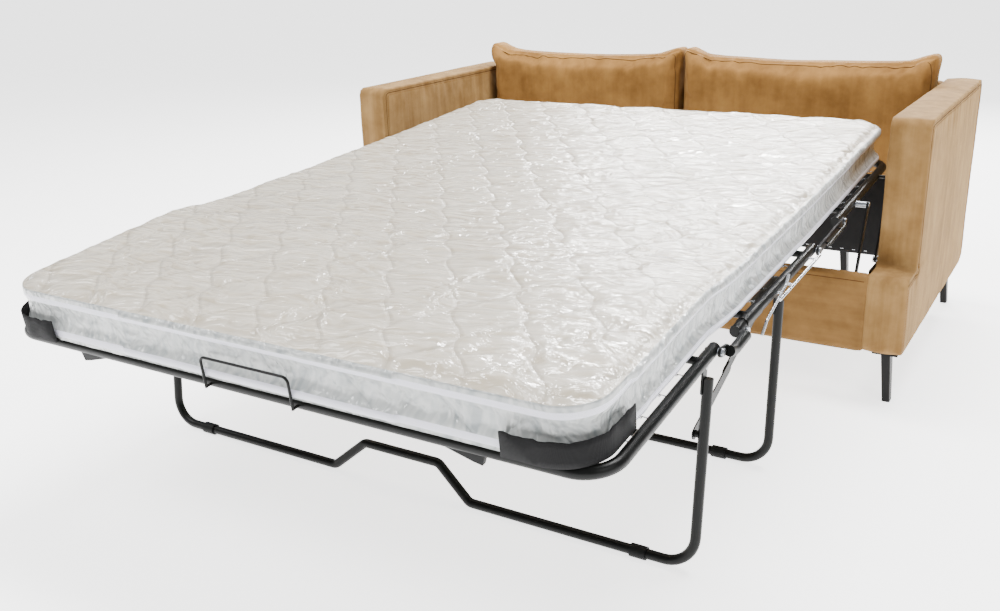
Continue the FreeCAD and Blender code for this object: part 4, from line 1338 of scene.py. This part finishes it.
@dataclass
class DeckSection:
    """The black cloth of one section, with the coil springs that stretch it."""
    name: str
    body: str
    finishes: Finishes
    thickness: float = 0.0016
    scallop: float = 0.007
    spring_radius: float = 0.0038
    wire: float = 0.0008
    turns: int = 9

    def build(self) -> None:
        """Build the cloth and the springs."""
        low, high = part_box(self.name + "_deck")
        rise = (high.z - low.z - self.thickness) / (high.y - low.y)
        slope = math.atan(rise)
        centre = (low + high) / 2
        bm = bmesh.new()
        width, length = high.x - low.x, (high.y - low.y) / math.cos(slope)
        bmesh.ops.create_grid(bm, x_segments=90, y_segments=48, size=0.5)
        for vertex in bm.verts:
            u, v = vertex.co.x, vertex.co.y
            edge = smooth((abs(u) - 0.42) / 0.08)
            bite = self.scallop * edge * (0.5 - 0.5 * math.cos(2 * math.pi * (v * length) / 0.078))
            x = u * width - math.copysign(bite, u) * (1 if abs(u) > 0.42 else 0)
            sag = -0.0012 * (1 - (2 * u) ** 2) * (1 - (2 * v) ** 2) + 0.0006 * ripple(x * 6, v * 6, 3.0)
            along = v * length
            vertex.co = centre + Vector((x, along * math.cos(slope) - sag * math.sin(slope),
                                         along * math.sin(slope) + sag))
        cloth = mesh_object(self.name + "_deck_cloth", bm)
        wall = cloth.modifiers.new("wall", "SOLIDIFY")
        wall.thickness, wall.offset = self.thickness, 0.0
        settle(cloth)
        dress(cloth, self.finishes.deck)
        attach(cloth, self.body)
        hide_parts(self.name + "_deck")
        springs = self.springs()
        log.info("%s deck: %d faces", self.name, len(cloth.data.polygons))

    def spring_places(self) -> list[tuple[Vector, Vector]]:
        """Read where each spring lies from the CAD node's loose parts.

        Returns:
            The lowest and the highest corner of each spring.
        """
        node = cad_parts[self.name + "_springs"]
        bm = bmesh.new()
        bm.from_mesh(node.data)
        bm.transform(node.matrix_world)
        bmesh.ops.remove_doubles(bm, verts=bm.verts, dist=1e-5)
        left = set(bm.verts)
        found = []
        while left:
            stack = [left.pop()]
            island = list(stack)
            while stack:
                for edge in stack.pop().link_edges:
                    for vertex in edge.verts:
                        if vertex in left:
                            left.remove(vertex)
                            stack.append(vertex)
                            island.append(vertex)
            xs, ys, zs = zip(*(v.co for v in island))
            found.append((Vector((min(xs), min(ys), min(zs))), Vector((max(xs), max(ys), max(zs)))))
        bm.free()
        return sorted(found, key=lambda pair: (pair[0].x, pair[0].y))

    def springs(self) -> bpy.types.Object:
        """Wind every spring of the section, with a hook at each end.

        Returns:
            All the section's springs as one piece.
        """
        bm = bmesh.new()
        for start, end in self.spring_places():
            y, z = (start.y + end.y) / 2, (start.z + end.z) / 2
            x0, x1 = start.x + 0.010, end.x - 0.010
            ring_at = Matrix.Translation((x0, y + self.spring_radius - self.wire, z))
            ring = bmesh.ops.create_circle(bm, segments=5, radius=self.wire, matrix=ring_at)
            edges = list({e for v in ring["verts"] for e in v.link_edges})
            steps = 9 * self.turns
            bmesh.ops.spin(bm, geom=ring["verts"] + edges, cent=(x0, y, z), axis=(1, 0, 0),
                           dvec=((x1 - x0) / steps, 0, 0), angle=2 * math.pi * self.turns, steps=steps,
                           use_merge=False)
            for a, b in ((start.x, x0 + 0.002), (x1 - 0.002, end.x)):
                tube_along(bm, [Vector((a, y, z)), Vector(((a + b) / 2, y, z + 0.0005)), Vector((b, y, z))],
                           self.wire * 1.3, 5)
        bmesh.ops.recalc_face_normals(bm, faces=bm.faces)
        springs = mesh_object(self.name + "_coil_springs", bm)
        dress(springs, self.finishes.dull_zinc)
        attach(springs, self.body)
        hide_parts(self.name + "_springs")
        return springs


@dataclass
class CornerPockets:
    """Black cloth pockets that hold the foot corners of the mattress."""
    finishes: Finishes
    fray: float = 0.004
    slack: float = 0.0012
    flat: tuple[float, float] = (0.42, 0.12)

    def build(self) -> None:
        """Build both pockets from their CAD shape, as limp cloth with a frayed edge."""
        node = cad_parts["corner_pockets"]
        bm = bmesh.new()
        bm.from_mesh(node.data)
        bm.transform(node.matrix_world)
        bmesh.ops.remove_doubles(bm, verts=bm.verts, dist=1e-5)
        for _ in range(3):
            long_edges = [e for e in bm.edges if e.calc_length() > 0.016]
            if long_edges:
                bmesh.ops.subdivide_edges(bm, edges=long_edges, cuts=1)
        bmesh.ops.triangulate(bm, faces=bm.faces)
        high = max(v.co.z for v in bm.verts)
        for vertex in bm.verts:
            x, y, z = vertex.co
            vertex.co.x += self.slack * ripple(y * 22, z * 12, 1.0)
            vertex.co.y += self.slack * ripple(x * 22, z * 12, 2.0)
            if z > high - 0.03:
                vertex.co.z += self.fray * ripple(x * 60, y * 60, 5.0)
        pockets = mesh_object("corner_pocket_cloth", bm)
        dress(pockets, self.finishes.cloth)
        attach(pockets, "foot_section")
        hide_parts("corner_pockets")
        log.info("corner pockets: %d faces", len(pockets.data.polygons))


@dataclass
class Metalwork:
    """The bed's frames, links, legs and small fittings, which keep their CAD shape."""
    finishes: Finishes
    bright: tuple[str, ...] = ("control_rods", "lock_levers")
    moulded: tuple[str, ...] = ("foot_leg_glides", "mid_leg_glides", "corner_wedges")
    timber: tuple[str, ...] = ("arm_frame_left", "arm_frame_right", "front_rail_board", "back_frame")
    pins: tuple[str, ...] = ("leg_screws", "bracket_pins", "head_pins", "mid_pins", "foot_pins")

    def finish_of(self, name: str) -> bpy.types.Material:
        """Choose the finish of a CAD node.

        Args:
            name: The node's name.

        Returns:
            Its material.
        """
        if name in self.bright:
            return self.finishes.bright
        if name in self.moulded:
            return self.finishes.plastic
        if name in self.timber:
            return self.finishes.timber
        if name in self.pins:
            return self.finishes.dull_zinc
        if name.startswith(("sofa_leg", "leg_plates")):
            return self.finishes.leg_steel
        return self.finishes.steel

    def build(self) -> None:
        """Dress every CAD node that is shown."""
        for name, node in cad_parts.items():
            if node.hide_render:
                continue
            finish = self.finish_of(name)
            if not node.material_slots:
                node.data.materials.append(finish)
            for slot in node.material_slots:
                slot.material = finish
        log.info("metalwork dressed")


# Studio ---------------------------------------------------------------------------------------

@dataclass
class Studio:
    """Plain floor, soft light and the camera at the photograph's angle."""
    camera_at: tuple[float, float, float] = (1.3116, -2.4070, 1.1732)
    yaw: float = 0.5523
    pitch: float = 0.3376
    roll: float = -0.0298
    lens: float = 37.23

    def build(self) -> None:
        """Set up the floor, the lights and the camera."""
        self.floor()
        self.world()
        self.light("key", (-2.4, -2.6, 4.2), (0.0, -0.1, 0.4), 2.6, 2.0, 230)
        self.light("fill", (3.8, -2.0, 2.8), (0.3, 0.0, 0.4), 2.2, 2.2, 60)
        self.light("overhead", (0.4, 0.9, 4.2), (0.1, -0.2, 0.4), 3.6, 1.0, 420)
        self.light("window", (-0.6, 4.6, 2.6), (0.1, -0.6, 0.4), 3.4, 0.5, 420)
        self.camera()

    def floor(self) -> None:
        """Lay a plain pale floor."""
        bm = bmesh.new()
        bmesh.ops.create_grid(bm, x_segments=1, y_segments=1, size=30.0)
        floor = mesh_object("floor", bm, False)
        shader = Shader("pale_floor").set(Base_Color=(0.94, 0.94, 0.94), Roughness=0.95,
                                          Specular_IOR_Level=0.1, Emission_Color=(1.0, 1.0, 1.0),
                                          Emission_Strength=2.4)
        dress(floor, shader.material)

    def world(self) -> None:
        """Light the scene evenly from all sides."""
        world = bpy.data.worlds.new("studio")
        world.use_nodes = True
        back = world.node_tree.nodes["Background"]
        back.inputs["Color"].default_value = (1.0, 1.0, 1.0, 1.0)
        back.inputs["Strength"].default_value = 0.5
        bpy.context.scene.world = world

    def light(self, name: str, at: Sequence[float], aim: Sequence[float], width: float, height: float,
              power: float) -> None:
        """Hang one soft box.

        Args:
            name: Its name.
            at: Where it hangs.
            aim: The place it shines at.
            width: Its width, in metres.
            height: Its height, in metres.
            power: Its power, in watts.
        """
        data = bpy.data.lights.new(name, "AREA")
        data.shape, data.size, data.size_y, data.energy = "RECTANGLE", width, height, power
        lamp = bpy.data.objects.new(name, data)
        lamp.location = at
        lamp.rotation_euler = (Vector(aim) - Vector(at)).to_track_quat("-Z", "Y").to_euler()
        bpy.context.scene.collection.objects.link(lamp)

    def camera(self) -> None:
        """Stand the camera where the photograph was taken."""
        forward = Vector((-math.sin(self.yaw) * math.cos(self.pitch),
                          math.cos(self.yaw) * math.cos(self.pitch), -math.sin(self.pitch)))
        right = Vector((math.cos(self.yaw), math.sin(self.yaw), 0))
        up = right.cross(forward)
        right, up = (math.cos(self.roll) * right + math.sin(self.roll) * up,
                     math.cos(self.roll) * up - math.sin(self.roll) * right)
        data = bpy.data.cameras.new("camera")
        data.sensor_width, data.sensor_fit, data.lens = 36.0, "HORIZONTAL", self.lens
        camera = bpy.data.objects.new("camera", data)
        camera.matrix_world = Matrix.Translation(self.camera_at) @ Matrix(
            (right, up, -forward)).transposed().to_4x4()
        bpy.context.scene.collection.objects.link(camera)
        bpy.context.scene.camera = camera


def main() -> None:
    """Build the sofa bed round the CAD frame."""
    logging.basicConfig(level=logging.INFO, format="%(message)s")
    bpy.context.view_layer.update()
    finishes = Finishes()
    for side in Side:
        Arm(side, finishes).build()
    PaddedBeam("front_rail_soft", "front_rail_cover", finishes, tuck=0.009).build()
    PaddedBeam("back_cover_soft", "back_cover", finishes).build()
    Lining(finishes).build()
    for side in Side:
        BackCushion(side, finishes).build()
    Mattress(finishes).build()
    for name, body in (("head", "head_section"), ("mid", "mid_section"), ("foot", "foot_section")):
        DeckSection(name, body, finishes).build()
    CornerPockets(finishes).build()
    Metalwork(finishes).build()
    Studio().build()


if __name__ == "__main__":
    main()
